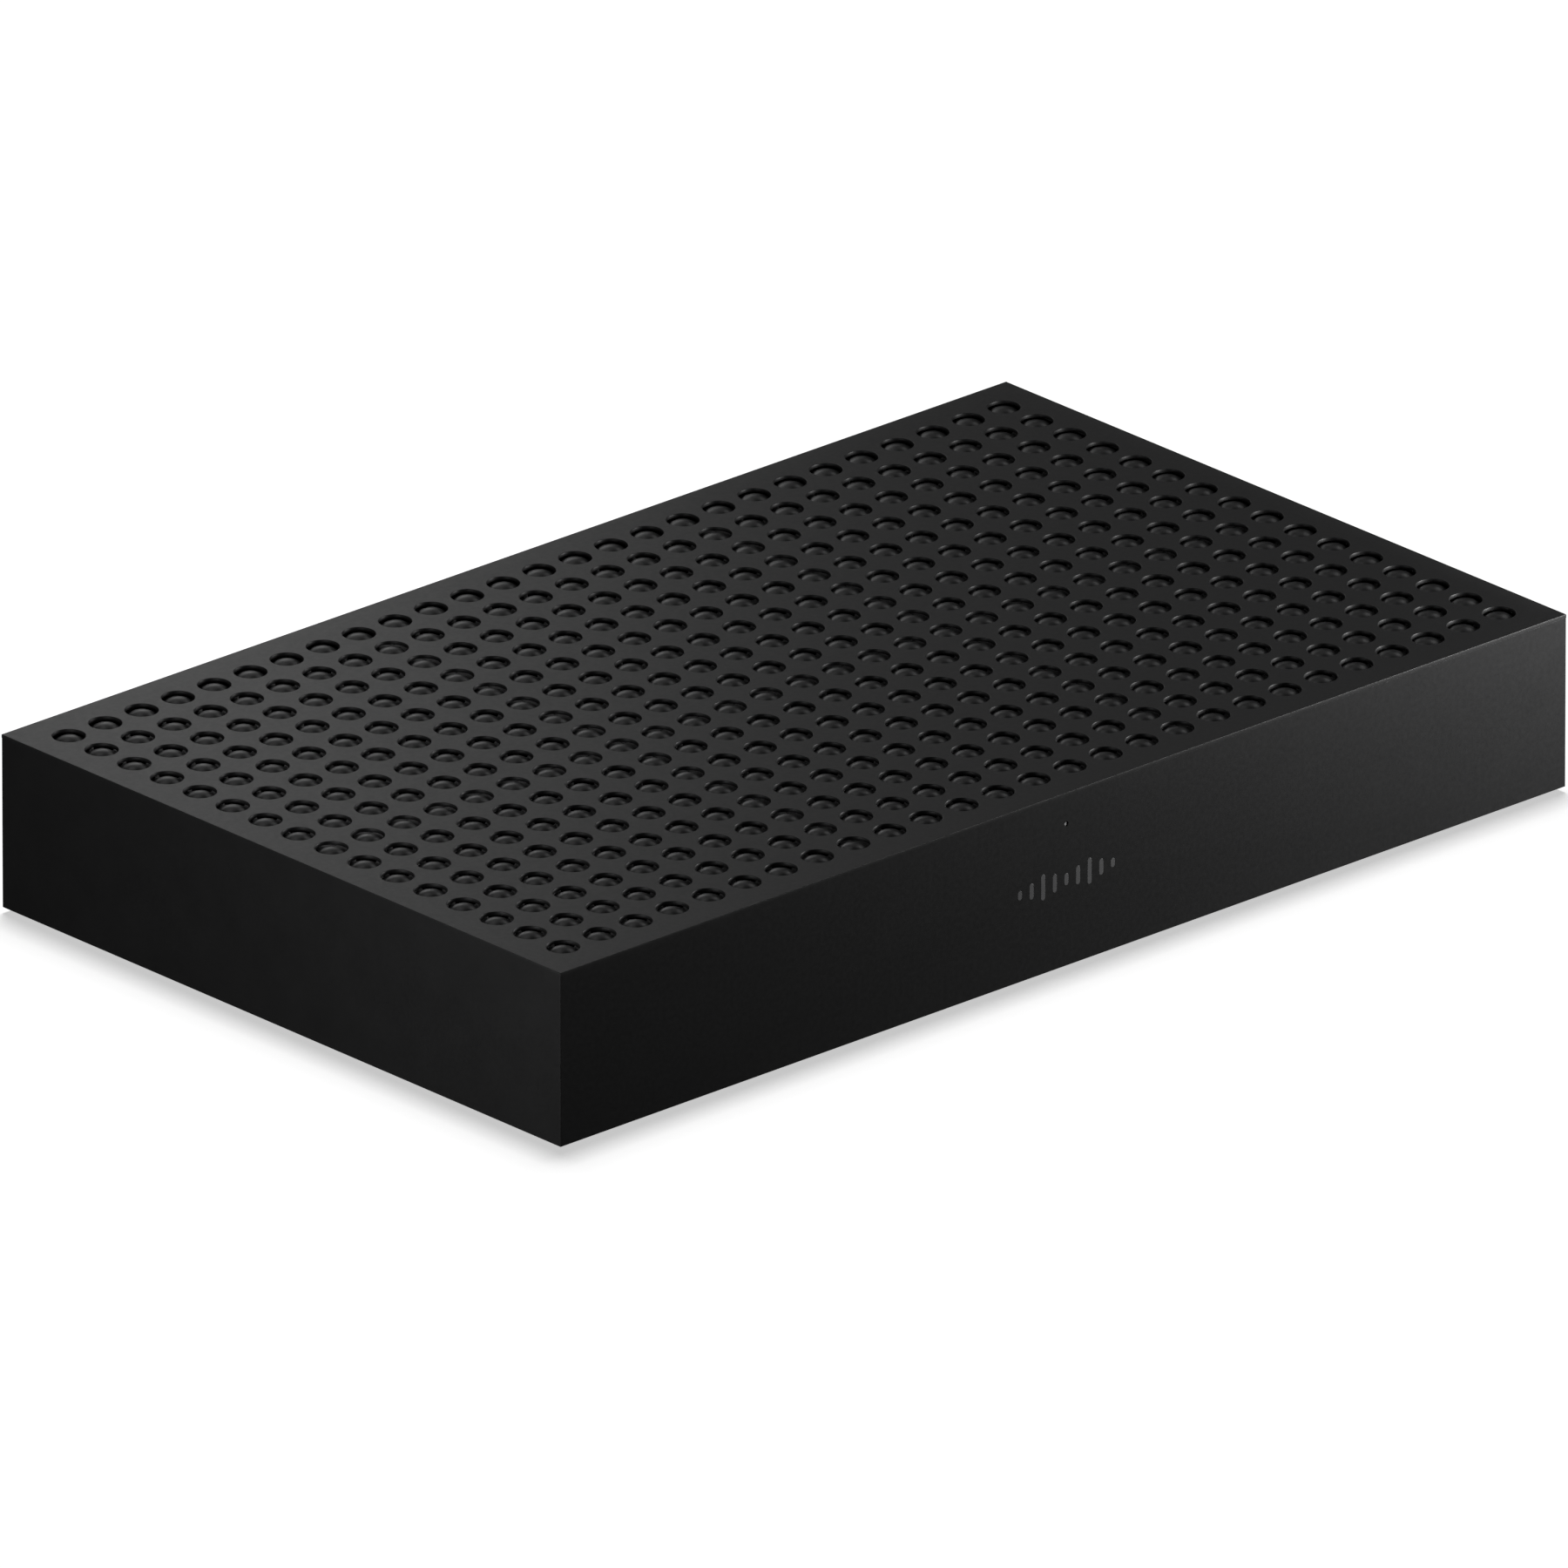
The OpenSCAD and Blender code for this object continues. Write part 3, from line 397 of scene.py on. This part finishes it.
def makeBoardFinish(look):
    # solder mask with faint tracks under it
    mat, tree, shader = newMaterial("solderMask")
    link = tree.links.new
    tracks = addNode(tree, "ShaderNodeTexBrick")
    tracks.inputs["Scale"].default_value = look["tracksPerMetre"]
    tracks.inputs["Mortar Size"].default_value = look["trackGap"]
    tracks.inputs["Brick Width"].default_value = look["trackLength"]
    tracks.inputs["Row Height"].default_value = look["trackWidth"]
    tracks.inputs["Color1"].default_value = (*look["mask"], 1)
    tracks.inputs["Color2"].default_value = (*look["maskOverCopper"], 1)
    tracks.inputs["Mortar"].default_value = (*look["trackEdge"], 1)
    link(addNode(tree, "ShaderNodeTexCoord").outputs["Object"], tracks.inputs["Vector"])
    link(tracks.outputs["Color"], shader.inputs["Base Color"])
    grain = placeGroup(tree, grainGroup, Grain_Size=look["grain"], Coarse_Share=look["coarseShare"])
    link(spreadValue(tree, grain.outputs["Speckle"], look["rough"], look["spread"]),
         shader.inputs["Roughness"])
    addBump(tree, shader, tracks.outputs["Fac"], look["bump"], look["bumpDepth"])
    return mat


windingLook = {
    # between: painted groove shade, a darker copper laid in the grooves between the wire turns
    "between": (0.16, 0.045, 0.012),
    "wire": (0.6, 0.24, 0.08),
    "rough": 0.3,
    "spread": 0.12,
    "metallic": 0.6,       # varnish over the copper
    "bump": 0.8,
    "bumpDepth": 0.5 * mm,
}


def makeWindingFinish(name, centre, turns, look):
    mat, tree, shader = newMaterial(name)
    link = tree.links.new
    wound = placeGroup(tree, turnsGroup, Centre=centre, Turns=float(turns))
    # painted groove shade: the colour darkens down each groove between turns and takes the wire
    # colour on the ridges
    color = mixColors(tree, wound.outputs["Height"], look["between"], look["wire"])
    link(color.outputs[2], shader.inputs["Base Color"])
    link(spreadValue(tree, wound.outputs["Height"], look["rough"], look["spread"]),
         shader.inputs["Roughness"])
    shader.inputs["Metallic"].default_value = look["metallic"]
    addBump(tree, shader, wound.outputs["Height"], look["bump"], look["bumpDepth"])
    return mat


windowLook = {
    "color": (0.6, 0.6, 0.6),
    "tint": (0.72, 0.72, 0.72),
    "grain": 3000.0,
    "coarseShare": 0.4,
    "rough": 0.35,
    "spread": 0.1,
    "bump": 0.1,
}


def makeLightWindow(look):
    mat, tree, shader = newMaterial("lightWindow")
    link = tree.links.new
    grain = placeGroup(tree, grainGroup, Grain_Size=look["grain"], Coarse_Share=look["coarseShare"])
    color = mixColors(tree, grain.outputs["Speckle"], look["color"], look["tint"])
    link(color.outputs[2], shader.inputs["Base Color"])
    link(spreadValue(tree, grain.outputs["Speckle"], look["rough"], look["spread"]),
         shader.inputs["Roughness"])
    addBump(tree, shader, grain.outputs["Height"], look["bump"], coating["bumpDepth"])
    return mat


finish["solderMask"] = makeBoardFinish(boardLook)
finish["lightWindow"] = makeLightWindow(windowLook)
print("finishes made:", len(finish))


def newObject(name, mesh, body, replaced, mats):
    obj = bpy.data.objects.new(name, mesh)
    bpy.context.scene.collection.objects.link(obj)
    for mat in mats:
        mesh.materials.append(mat)
    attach(obj, body)
    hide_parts(replaced)
    return obj


def bodyOf(node):
    bodies = record["behaviour"]["bodies"]
    return next(body for body, members in bodies.items() if node in members)


class MeshMaker:
    # collects faces given in mm, joins points that meet, then makes one mesh
    cellsPerMm = 1e4       # points in the same cell become one vertex

    def __init__(self):
        self.index, self.verts, self.faces, self.smooth, self.sharp = {}, [], [], [], set()

    def vert(self, x, y, z):
        key = tuple(round(c * self.cellsPerMm) for c in (x, y, z))
        if key not in self.index:
            self.index[key] = len(self.verts)
            self.verts.append((x * mm, y * mm, z * mm))
        return self.index[key]

    def face(self, corners, smooth):
        ids = [self.vert(*c) for c in corners]
        clean = [v for i, v in enumerate(ids) if v != ids[i - 1]]
        if len(clean) > 2:
            self.faces.append(clean)
            self.smooth.append(smooth)

    def crease(self, a, b):
        self.sharp.add(frozenset((self.vert(*a), self.vert(*b))))

    def mesh(self, name):
        mesh = bpy.data.meshes.new(name)
        mesh.from_pydata(self.verts, [], self.faces)
        mesh.polygons.foreach_set("use_smooth", self.smooth)
        if self.sharp:
            for edge in mesh.edges:
                if frozenset(edge.vertices) in self.sharp:
                    edge.use_edge_sharp = True
        mesh.validate()
        mesh.update()
        return mesh


def squareAndCircle(cx, cy, half, segments):
    # points on a square's outline and the matching directions round a circle, counter-clockwise
    side = segments // 4
    corners = [(-half, -half), (half, -half), (half, half), (-half, half)]
    square, circle = [], []
    for k in range(4):
        (ax, ay), (bx, by) = corners[k], corners[(k + 1) % 4]
        for i in range(side):
            t = i / side
            square.append((cx + ax + (bx - ax) * t, cy + ay + (by - ay) * t))
            turn = math.radians(-135 + 90 * (k + t))
            circle.append((math.cos(turn), math.sin(turn)))
    return square, circle


def roundOver(radius, steps, topZ):
    # (distance out, height) from the top face round to the side
    turns = [math.pi / 2 * j / steps for j in range(steps + 1)]
    return [(radius * math.sin(t), topZ - radius * (1 - math.cos(t))) for t in turns]


coverPlate = {
    "columns": 27,
    "rows": 16,
    "pitch": 15.5,
    "holeRadius": 5.35,
    "rimRound": 0.18,      # round on each hole's edge
    "rimSteps": 2,
    "segments": 40,
    "edgeRound": 0.12,     # round along the outer edges
    "edgeSteps": 3,
    "thickness": 1.2,
}


def buildCoverPlate(spec):
    low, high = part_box("top_plate")
    halfW, halfD, topZ = high.x / mm, high.y / mm, high.z / mm
    lowZ = topZ - spec["thickness"]
    pitch, seg = spec["pitch"], spec["segments"]
    gridW, gridD = spec["columns"] * pitch / 2, spec["rows"] * pitch / 2
    maker = MeshMaker()

    # one square cell for each vent: its flat, its rounded rim and its wall
    rimProfile = [(spec["rimRound"] - out, z) for out, z in
                  roundOver(spec["rimRound"], spec["rimSteps"], topZ)] + [(0.0, lowZ)]
    for i in range(spec["columns"]):
        for j in range(spec["rows"]):
            cx, cy = -gridW + (i + 0.5) * pitch, -gridD + (j + 0.5) * pitch
            square, circle = squareAndCircle(cx, cy, pitch / 2, seg)
            rings = []
            for grow, z in rimProfile:
                r = spec["holeRadius"] + grow
                rings.append([(cx + r * c, cy + r * s, z) for c, s in circle])
            for k in range(seg):
                n = (k + 1) % seg
                a, b = square[k], square[n]
                maker.face([(*a, topZ), (*b, topZ), rings[0][n], rings[0][k]], False)
                for upper, lower in zip(rings, rings[1:]):
                    maker.face([upper[k], upper[n], lower[n], lower[k]], True)
                maker.face([rings[-1][k], rings[-1][n], (*b, lowZ), (*a, lowZ)], False)
                maker.crease(rings[-1][k], rings[-1][n])

    # the margin round the grid, the rounded outer edge and the plate's sides
    edge = spec["edgeRound"]
    flatW, flatD = halfW - edge, halfD - edge
    step = pitch / (seg // 4)
    xs = [-gridW + step * i for i in range(round(2 * gridW / step) + 1)]
    ys = [-gridD + step * i for i in range(round(2 * gridD / step) + 1)]
    profile = roundOver(edge, spec["edgeSteps"], topZ) + [(edge, lowZ)]

    def place(point, alongX, off, z, atCorner=False):
        # a point of the outer edge, off mm out from the flat; a corner point lies off both ways
        x = math.copysign(flatW + off, point[0]) if atCorner or not alongX else point[0]
        y = math.copysign(flatD + off, point[1]) if atCorner or alongX else point[1]
        return (x, y, z)

    def inner(point, alongX, z):
        return (point[0], point[1] * gridD, z) if alongX else (point[0] * gridW, point[1], z)

    # each side is walked counter-clockwise
    sides = [
        ([(x, -1) for x in xs], True), ([(1, y) for y in ys], False),
        ([(x, 1) for x in reversed(xs)], True), ([(-1, y) for y in reversed(ys)], False),
    ]
    for points, alongX in sides:
        for a, b in zip(points, points[1:]):
            maker.face([place(a, alongX, 0, topZ), place(b, alongX, 0, topZ),
                        inner(b, alongX, topZ), inner(a, alongX, topZ)], False)
            maker.face([inner(a, alongX, lowZ), inner(b, alongX, lowZ),
                        place(b, alongX, edge, lowZ), place(a, alongX, edge, lowZ)], False)
        first, last = points[0], points[-1]
        for z, off in ((topZ, 0), (lowZ, edge)):
            corner = place(last, alongX, off, z, True)
            inside = inner(last, alongX, z)
            beyond = (corner[0], inside[1], z) if alongX else (inside[0], corner[1], z)
            patch = [inside, place(last, alongX, off, z), corner, beyond]
            maker.face(patch if z == topZ else patch[::-1], False)
        full = [(first, True)] + [(p, False) for p in points] + [(last, True)]
        for (offA, zA), (offB, zB) in zip(profile, profile[1:]):
            for (a, endA), (b, endB) in zip(full, full[1:]):
                maker.face([place(b, alongX, offA, zA, endB), place(a, alongX, offA, zA, endA),
                            place(a, alongX, offB, zB, endA), place(b, alongX, offB, zB, endB)], True)
            maker.crease(place(last, alongX, offA, zA, True), place(last, alongX, offB, zB, True))
        for (a, endA), (b, endB) in zip(full, full[1:]):
            maker.crease(place(a, alongX, edge, lowZ, endA), place(b, alongX, edge, lowZ, endB))
    return newObject("coverPlate", maker.mesh("coverPlate"), "chassis",
                     "top_plate", [finish["coverSatin"]])


buildCoverPlate(coverPlate)
print("cover plate made")


domeTrays = {
    "split": (3, 2),        # trays across and along
    "segments": 32,
    "outerRings": 9,
    "innerRings": 4,
    "radius": 7.45,
    "wall": 1.2,
    "crownBelowTop": 0.1,
    "floorThickness": 1.4,
    "floorBelowCrown": 4.0,
    "riserRadius": 3.3,
    "gap": 0.3,             # between neighbouring trays
}

closeEnough = 0.01          # mm


def capRings(radius, centreZ, levelZ, count):
    # (radius, height) of rings on a sphere's cap, from its foot at a level up to near its top
    edge = math.acos((levelZ - centreZ) / radius)
    turns = [edge * n / count for n in range(count, 0, -1)]
    return [(radius * math.sin(t), centreZ + radius * math.cos(t)) for t in turns]


def onRim(point, rimW, rimD):
    return abs(point[0]) > rimW - closeEnough or abs(point[1]) > rimD - closeEnough


def alongRim(a, b, rimW, rimD):
    return any(abs(abs(a[axis]) - rim) < closeEnough and abs(a[axis] - b[axis]) < closeEnough
               for axis, rim in ((0, rimW), (1, rimD)))


def cellOutline(cx, cy, half, rimW, rimD, reach, steps):
    # a cell's outline, counter-clockwise, with steps + 1 points at each corner: on an arc round
    # the riser there, or on the bare corner where it is on the tray's rim
    outline = []
    for k, (sx, sy) in enumerate([(-1, -1), (1, -1), (1, 1), (-1, 1)]):
        px, py = cx + sx * half, cy + sy * half
        shares = [m / steps for m in range(steps + 1)]
        if onRim((px, py), rimW, rimD):
            if k % 2:
                shares.reverse()
            outline += [(px - sx * reach * max(0, 2 * t - 1), py - sy * reach * max(0, 1 - 2 * t))
                        for t in shares]
        else:
            turns = [math.pi / 2 * (k + 1 - t) for t in shares]
            outline += [(px + reach * math.cos(t), py + reach * math.sin(t)) for t in turns]
    return outline


def buildDomeTrays(spec, plate):
    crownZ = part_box("top_plate")[1].z / mm - spec["crownBelowTop"]
    centreZ = crownZ - spec["radius"]
    upZ = crownZ - spec["floorBelowCrown"]
    downZ = upZ - spec["floorThickness"]
    pitch, seg = plate["pitch"], spec["segments"]
    cols, rows = plate["columns"] // spec["split"][0], plate["rows"] // spec["split"][1]
    gridW, gridD = cols * pitch / 2, rows * pitch / 2
    outer = capRings(spec["radius"], centreZ, upZ, spec["outerRings"])
    inner = capRings(spec["radius"] - spec["wall"], centreZ, downZ, spec["innerRings"])
    # each skin: its dome's rings, the top of the dome, and 1 facing up or -1 facing down
    skins = [(outer, crownZ, 1), (inner, crownZ - spec["wall"], -1)]
    cornerSteps = seg // 4
    maker = MeshMaker()
    for i in range(cols):
        for j in range(rows):
            cx, cy = -gridW + (i + 0.5) * pitch, -gridD + (j + 0.5) * pitch
            _, circle = squareAndCircle(cx, cy, pitch / 2, seg)
            outline = cellOutline(cx, cy, pitch / 2, gridW, gridD, spec["riserRadius"], cornerSteps)
            sides = list(zip(outline, outline[1:] + outline[:1]))
            for profile, tip, facing in skins:
                rings = [[(cx + r * c, cy + r * s, z) for c, s in circle] for r, z in profile]
                foot = rings[0]
                for k in range(seg):
                    n = (k + 1) % seg
                    for lower, upper in zip(rings, rings[1:]):
                        maker.face([lower[k], lower[n], upper[n], upper[k]][::facing], True)
                    maker.face([rings[-1][k], rings[-1][n], (cx, cy, tip)][::facing], True)
                    maker.crease(foot[k], foot[n])
                # the floor: each side of the outline is paired with a stretch of the dome's foot
                floorZ = foot[0][2]
                for n, (a, b) in enumerate(sides):
                    start = round(n * seg / len(sides)) - seg // 8
                    end = round((n + 1) * seg / len(sides)) - seg // 8
                    quad = [(*a, floorZ), (*b, floorZ), foot[end % seg], foot[start % seg]]
                    maker.face(quad[::facing], False)
            # walls along the rim, and smooth ones from each other corner point that is off the rim
            for n, (a, b) in enumerate(sides):
                flat = alongRim(a, b, gridW, gridD)
                atCorner = n % (cornerSteps + 1) != cornerSteps
                if flat or (atCorner and not onRim(a, gridW, gridD)):
                    maker.face([(*b, upZ), (*a, upZ), (*a, downZ), (*b, downZ)], not flat)
    mesh = maker.mesh("domeTray")
    mesh.materials.append(finish["domeSatin"])
    across, along = spec["split"]
    for i in range(across):
        for j in range(along):
            tray = bpy.data.objects.new("domeTray%d%d" % (i + 1, j + 1), mesh)
            tray.location = ((i - (across - 1) / 2) * 2 * gridW * mm,
                             (j - (along - 1) / 2) * 2 * gridD * mm, 0)
            tray.scale = (1 - spec["gap"] / (2 * gridW), 1 - spec["gap"] / (2 * gridD), 1)
            bpy.context.scene.collection.objects.link(tray)
            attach(tray, "chassis")
            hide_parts("dome_trays")


buildDomeTrays(domeTrays, coverPlate)
print("dome trays made")


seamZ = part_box("top_plate")[0].z

refining = {
    "weldWithin": 0.002 * mm,
    "flatWithin": 0.8,          # degrees; faces closer than this are joined
    "sharpOver": 30.0,          # degrees; edges over this are rounded or kept crisp
    "roundSteps": 2,
    "seamMargin": 0.05 * mm,
    "largeFaceWeight": 90,      # keeps large faces evenly shaded
}


def refinedCopy(node, name, width, finishes, spec, shortest=None, pick=None):
    # welds the node's mesh, joins its flat faces, and rounds its edges by width (mm);
    # edges under the shortest length (mm) and those on the cover's seam stay crisp
    shortest = shortest or width / 2
    bm = bmesh.new()
    bm.from_mesh(frame["nodes"][node].data)
    bmesh.ops.remove_doubles(bm, verts=bm.verts, dist=spec["weldWithin"])
    bmesh.ops.dissolve_limit(bm, angle_limit=math.radians(spec["flatWithin"]), verts=bm.verts,
                             edges=bm.edges)
    weight = bm.edges.layers.float.new("bevel_weight_edge")
    limit = math.radians(spec["sharpOver"])
    for edge in bm.edges:
        edge.smooth = True
        if edge.is_manifold and edge.calc_face_angle() > limit:
            seamStart = seamZ - spec["seamMargin"]
            onSeam = node == "wall_frame" and min(v.co.z for v in edge.verts) > seamStart
            if edge.calc_length() > shortest * mm and not onSeam:
                edge[weight] = 1.0
            else:
                edge.smooth = False
    for face in bm.faces:
        face.smooth = True
        face.material_index = pick(face.calc_center_median() / mm) if pick else 0
    mesh = bpy.data.meshes.new(name)
    bm.to_mesh(mesh)
    bm.free()
    obj = newObject(name, mesh, bodyOf(node), node, finishes)
    bevel = obj.modifiers.new("softEdges", "BEVEL")
    bevel.width = width * mm
    bevel.segments = spec["roundSteps"]
    bevel.limit_method = "WEIGHT"
    bevel.use_clamp_overlap = True
    flatten = obj.modifiers.new("evenShading", "WEIGHTED_NORMAL")
    flatten.weight = spec["largeFaceWeight"]
    flatten.keep_sharp = True
    return obj


refined = {
    # node: (piece name, edge round in mm, finish)
    "wall_frame": ("wallRing", 0.25, "wallSatin"),
    "front_badge": ("levelBadge", 0.12, "badgeGrey"),
    "light_pipe": ("lightPipe", 0.15, "lightWindow"),
    "base_plate": ("basePan", 0.2, "basePowder"),
    "rear_panel": ("socketPanel", 0.15, "panelPowder"),
    "feet": ("restingFeet", 0.5, "footRubber"),
    "mains_inlet": ("mainsInlet", 0.3, "socketBlack"),
    "mains_pins": ("mainsPins", 0.25, "brightNickel"),
    "speaker_headers": ("speakerHeaders", 0.15, "socketBlack"),
    "rca_blocks": ("lineBlocks", 0.3, "socketBlack"),
    "rca_shells": ("lineShells", 0.12, "brightNickel"),
    "rca_inserts": ("lineInserts", 0.12, "insertWhite"),
    "ethernet_jacks": ("lanJacks", 0.12, "tinnedSheet"),
    "optical_jack": ("opticalJack", 0.2, "socketBlack"),
    "optical_shutter": ("opticalShutter", 0.1, "socketBlack"),
    "trigger_jacks": ("triggerJacks", 0.2, "socketBlack"),
    "join_button": ("joinButton", 0.25, "socketBlack"),
    "mount_inserts": ("bracketInserts", 0.15, "turnedBrass"),
    "base_screws": ("baseScrews", 0.3, "blackScrew"),
    "panel_screws": ("panelScrews", 0.3, "zincScrew"),
}
for i in range(1, 5):
    refined["speaker_plug_%d" % i] = ("speakerPlug%d" % i, 0.25, "terminalGreen")
    refined["plug_screws_%d" % i] = ("plugScrews%d" % i, 0.1, "zincScrew")

insertLow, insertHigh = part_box("rca_inserts")
insertSplit = (insertLow.z + insertHigh.z) / 2 / mm
wallShortest = 30           # mm; only the wall's long edges are rounded
rearStart = 0.05            # metres along Y; pieces wholly beyond it are at the rear


def insertColor(place):
    # white over red, as on any pair of line sockets
    return 0 if place.z > insertSplit else 1


rearPieces = []
for node, (name, width, finishName) in refined.items():
    if node == "rca_inserts":
        piece = refinedCopy(node, name, width, [finish[finishName], finish["insertRed"]], refining,
                            pick=insertColor)
    else:
        piece = refinedCopy(node, name, width, [finish[finishName]], refining,
                            shortest=wallShortest if node == "wall_frame" else None)
    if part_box(node)[0].y > rearStart or node == "wall_frame":
        rearPieces.append(piece)
print("outer parts refined:", len(refined))


carried = {
    "ethernet_contacts": "goldContact", "header_pins": "brightNickel",
    "standoffs": "turnedBrass", "board_screws": "zincScrew", "light_board": "solderMask",
    "psu_board": "solderMask", "fuse": "brightNickel",
    "film_capacitors": "filmYellow", "bridge_heat_sink": "drawnAluminium",
    "bulk_capacitors": "capSleeve",
    "main_transformer": "ferriteGrey", "rectifier_heat_sink": "drawnAluminium",
    "supply_capacitors": "capSleeve", "amp_board_left": "solderMask",
    "amp_board_right": "solderMask", "amp_heat_sink_left": "blackAnodised",
    "amp_heat_sink_right": "blackAnodised", "amp_chips": "chipEpoxy",
    "thermal_pads": "padBlue", "output_inductors": "powderCore", "main_board": "solderMask",
    "control_chips": "chipEpoxy", "processor_shield": "tinnedSheet",
    "processor_heat_sink": "blackAnodised", "button_switch": "socketBlack",
    "wifi_module": "tinnedSheet", "antennas": "aerialFilm", "inner_leads": "wireJacket",
}


def paintNode(node, mat):
    obj = frame["nodes"][node]
    if not obj.material_slots:
        obj.data.materials.append(mat)
    for slot in obj.material_slots:
        slot.material = mat


windings = {
    # node: (finish name, turns of wire round its ring)
    "emi_choke": ("chokeWinding", 17),
    "pfc_inductor": ("inductorWinding", 21),
}

for node, finishName in carried.items():
    paintNode(node, finish[finishName])
for node, (name, turns) in windings.items():
    low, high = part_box(node)
    paintNode(node, makeWindingFinish(name, (low + high) / 2, turns, windingLook))
done = set(carried) | set(windings) | set(refined) | {"top_plate", "dome_trays"}
print("inner parts painted:", len(carried) + len(windings),
      "left over:", sorted(set(frame["nodes"]) - done))


lighting = {
    "floorSize": 3.0,
    "floorWhite": 0.85,
    "floorGlow": 0.565,       # how bright the floor is where the body shades it
    "ambient": 0.0,
}

floorLamps = {
    # name: (place, size, power); place and size set where the soft shadow starts and ends
    "floorLampNear": ((0.315, 0.4, 6.0), 1.06, 118.0),
    "floorLampFar": ((1.035, 1.12, 6.0), 2.12, 110.0),
}

keyLamps = {
    # name: (position, target, width, height, power)
    "rearPanel1": ((0.25, 0.55, 0.3), (0.0, 0.1, 0.06), 0.3, 0.2, 0.12),
    "rearPanel2": ((0.8, 1.1, 0.6), (0.0, 0.0, 0.06), 0.6, 0.4, 0.289),
    "skyPanel1": ((0.0, 0.8, 1.6), (0.0, 0.0, 0.06), 0.8, 0.8, 2.03),
    "skyPanel2": ((2.0, 0.6, 1.9), (0.0, 0.0, 0.06), 0.7, 0.7, 2.95),
    "leftPanel1": ((-0.8, 0.5, 0.15), (-0.22, 0.0, 0.04), 0.4, 0.3, 0.31),
    "fillPanel1": ((0.9, 0.9, 1.5), (0.0, 0.0, 0.06), 0.6, 0.6, 0.372),
    "sidePanel1": ((0.1, 0.55, 0.3), (-0.1, 0.1, 0.06), 0.35, 0.2, 0.159),
    "sidePanel2": ((-0.55, -0.12, 0.1), (-0.22, -0.1, 0.04), 0.25, 0.2, 0.633),
    "sidePanel3": ((0.58, -0.36, 0.1), (0.2, -0.13, 0.04), 0.25, 0.2, 0.255),
    "sidePanel4": ((0.42, -0.32, 0.14), (0.2, -0.13, 0.05), 0.2, 0.15, 2.13),
}

rearLamps = {
    # these light only the pieces at the rear
    "rearSoft": ((0.0, 0.9, 0.3), (0.0, 0.13, 0.03), 0.4, 0.35, 8.0),
}


def buildFloor(spec):
    half = spec["floorSize"] / 2
    mesh = bpy.data.meshes.new("studioFloor")
    mesh.from_pydata([(-half, -half, 0), (half, -half, 0), (half, half, 0), (-half, half, 0)], [],
                     [(0, 1, 2, 3)])
    floor = bpy.data.objects.new("studioFloor", mesh)
    mat, _, shader = newMaterial("studioWhite")
    white = spec["floorWhite"]
    shader.inputs["Base Color"].default_value = (white, white, white, 1)
    shader.inputs["Roughness"].default_value = 1.0
    shader.inputs["Specular IOR Level"].default_value = 0.0
    shader.inputs["Emission Color"].default_value = (1, 1, 1, 1)
    shader.inputs["Emission Strength"].default_value = spec["floorGlow"]
    mesh.materials.append(mat)
    floor.visible_glossy = False
    floor.visible_diffuse = False
    bpy.context.scene.collection.objects.link(floor)
    return floor


def lampAt(name, place, target, width, height, power):
    data = bpy.data.lights.new(name, "AREA")
    data.shape = "RECTANGLE"
    data.size, data.size_y = width, height
    data.energy = power
    lamp = bpy.data.objects.new(name, data)
    lamp.location = place
    lamp.rotation_mode = "QUATERNION"
    lamp.rotation_quaternion = (Vector(target) - Vector(place)).to_track_quat("-Z", "Y")
    bpy.context.scene.collection.objects.link(lamp)
    return lamp


floor = buildFloor(lighting)
floorOnly = bpy.data.collections.new("floorOnly")
floorOnly.objects.link(floor)
allButFloor = bpy.data.collections.new("allButFloor")
allButFloor.objects.link(floor)
allButFloor.collection_objects[0].light_linking.link_state = "EXCLUDE"

for name, (place, size, power) in floorLamps.items():
    lamp = lampAt(name, place, (place[0], place[1], 0.0), size, size, power)
    lamp.light_linking.receiver_collection = floorOnly
for name, (place, target, width, height, power) in keyLamps.items():
    lamp = lampAt(name, place, target, width, height, power)
    lamp.light_linking.receiver_collection = allButFloor

rearOnly = bpy.data.collections.new("rearOnly")
for piece in rearPieces + [frame["nodes"]["ethernet_contacts"]]:
    rearOnly.objects.link(piece)
for name, (place, target, width, height, power) in rearLamps.items():
    lamp = lampAt(name, place, target, width, height, power)
    lamp.light_linking.receiver_collection = rearOnly


def buildWorld(ambient):
    world = bpy.data.worlds.new("studioWorld")
    bpy.context.scene.world = world
    world.use_nodes = True
    tree = world.node_tree
    tree.nodes.clear()
    out = addNode(tree, "ShaderNodeOutputWorld")
    seen = addNode(tree, "ShaderNodeBackground")
    seen.inputs["Color"].default_value = (1, 1, 1, 1)
    seen.inputs["Strength"].default_value = 1.0
    around = addNode(tree, "ShaderNodeBackground")
    around.inputs["Color"].default_value = (1, 1, 1, 1)
    around.inputs["Strength"].default_value = ambient
    path = addNode(tree, "ShaderNodeLightPath")
    mix = addNode(tree, "ShaderNodeMixShader")
    tree.links.new(path.outputs["Is Camera Ray"], mix.inputs[0])
    tree.links.new(around.outputs[0], mix.inputs[1])
    tree.links.new(seen.outputs[0], mix.inputs[2])
    tree.links.new(mix.outputs[0], out.inputs["Surface"])


buildWorld(lighting["ambient"])
bpy.context.scene.view_settings.view_transform = "Standard"
bpy.context.scene.view_settings.look = "None"
print("studio ready")

bpy.context.view_layer.update()
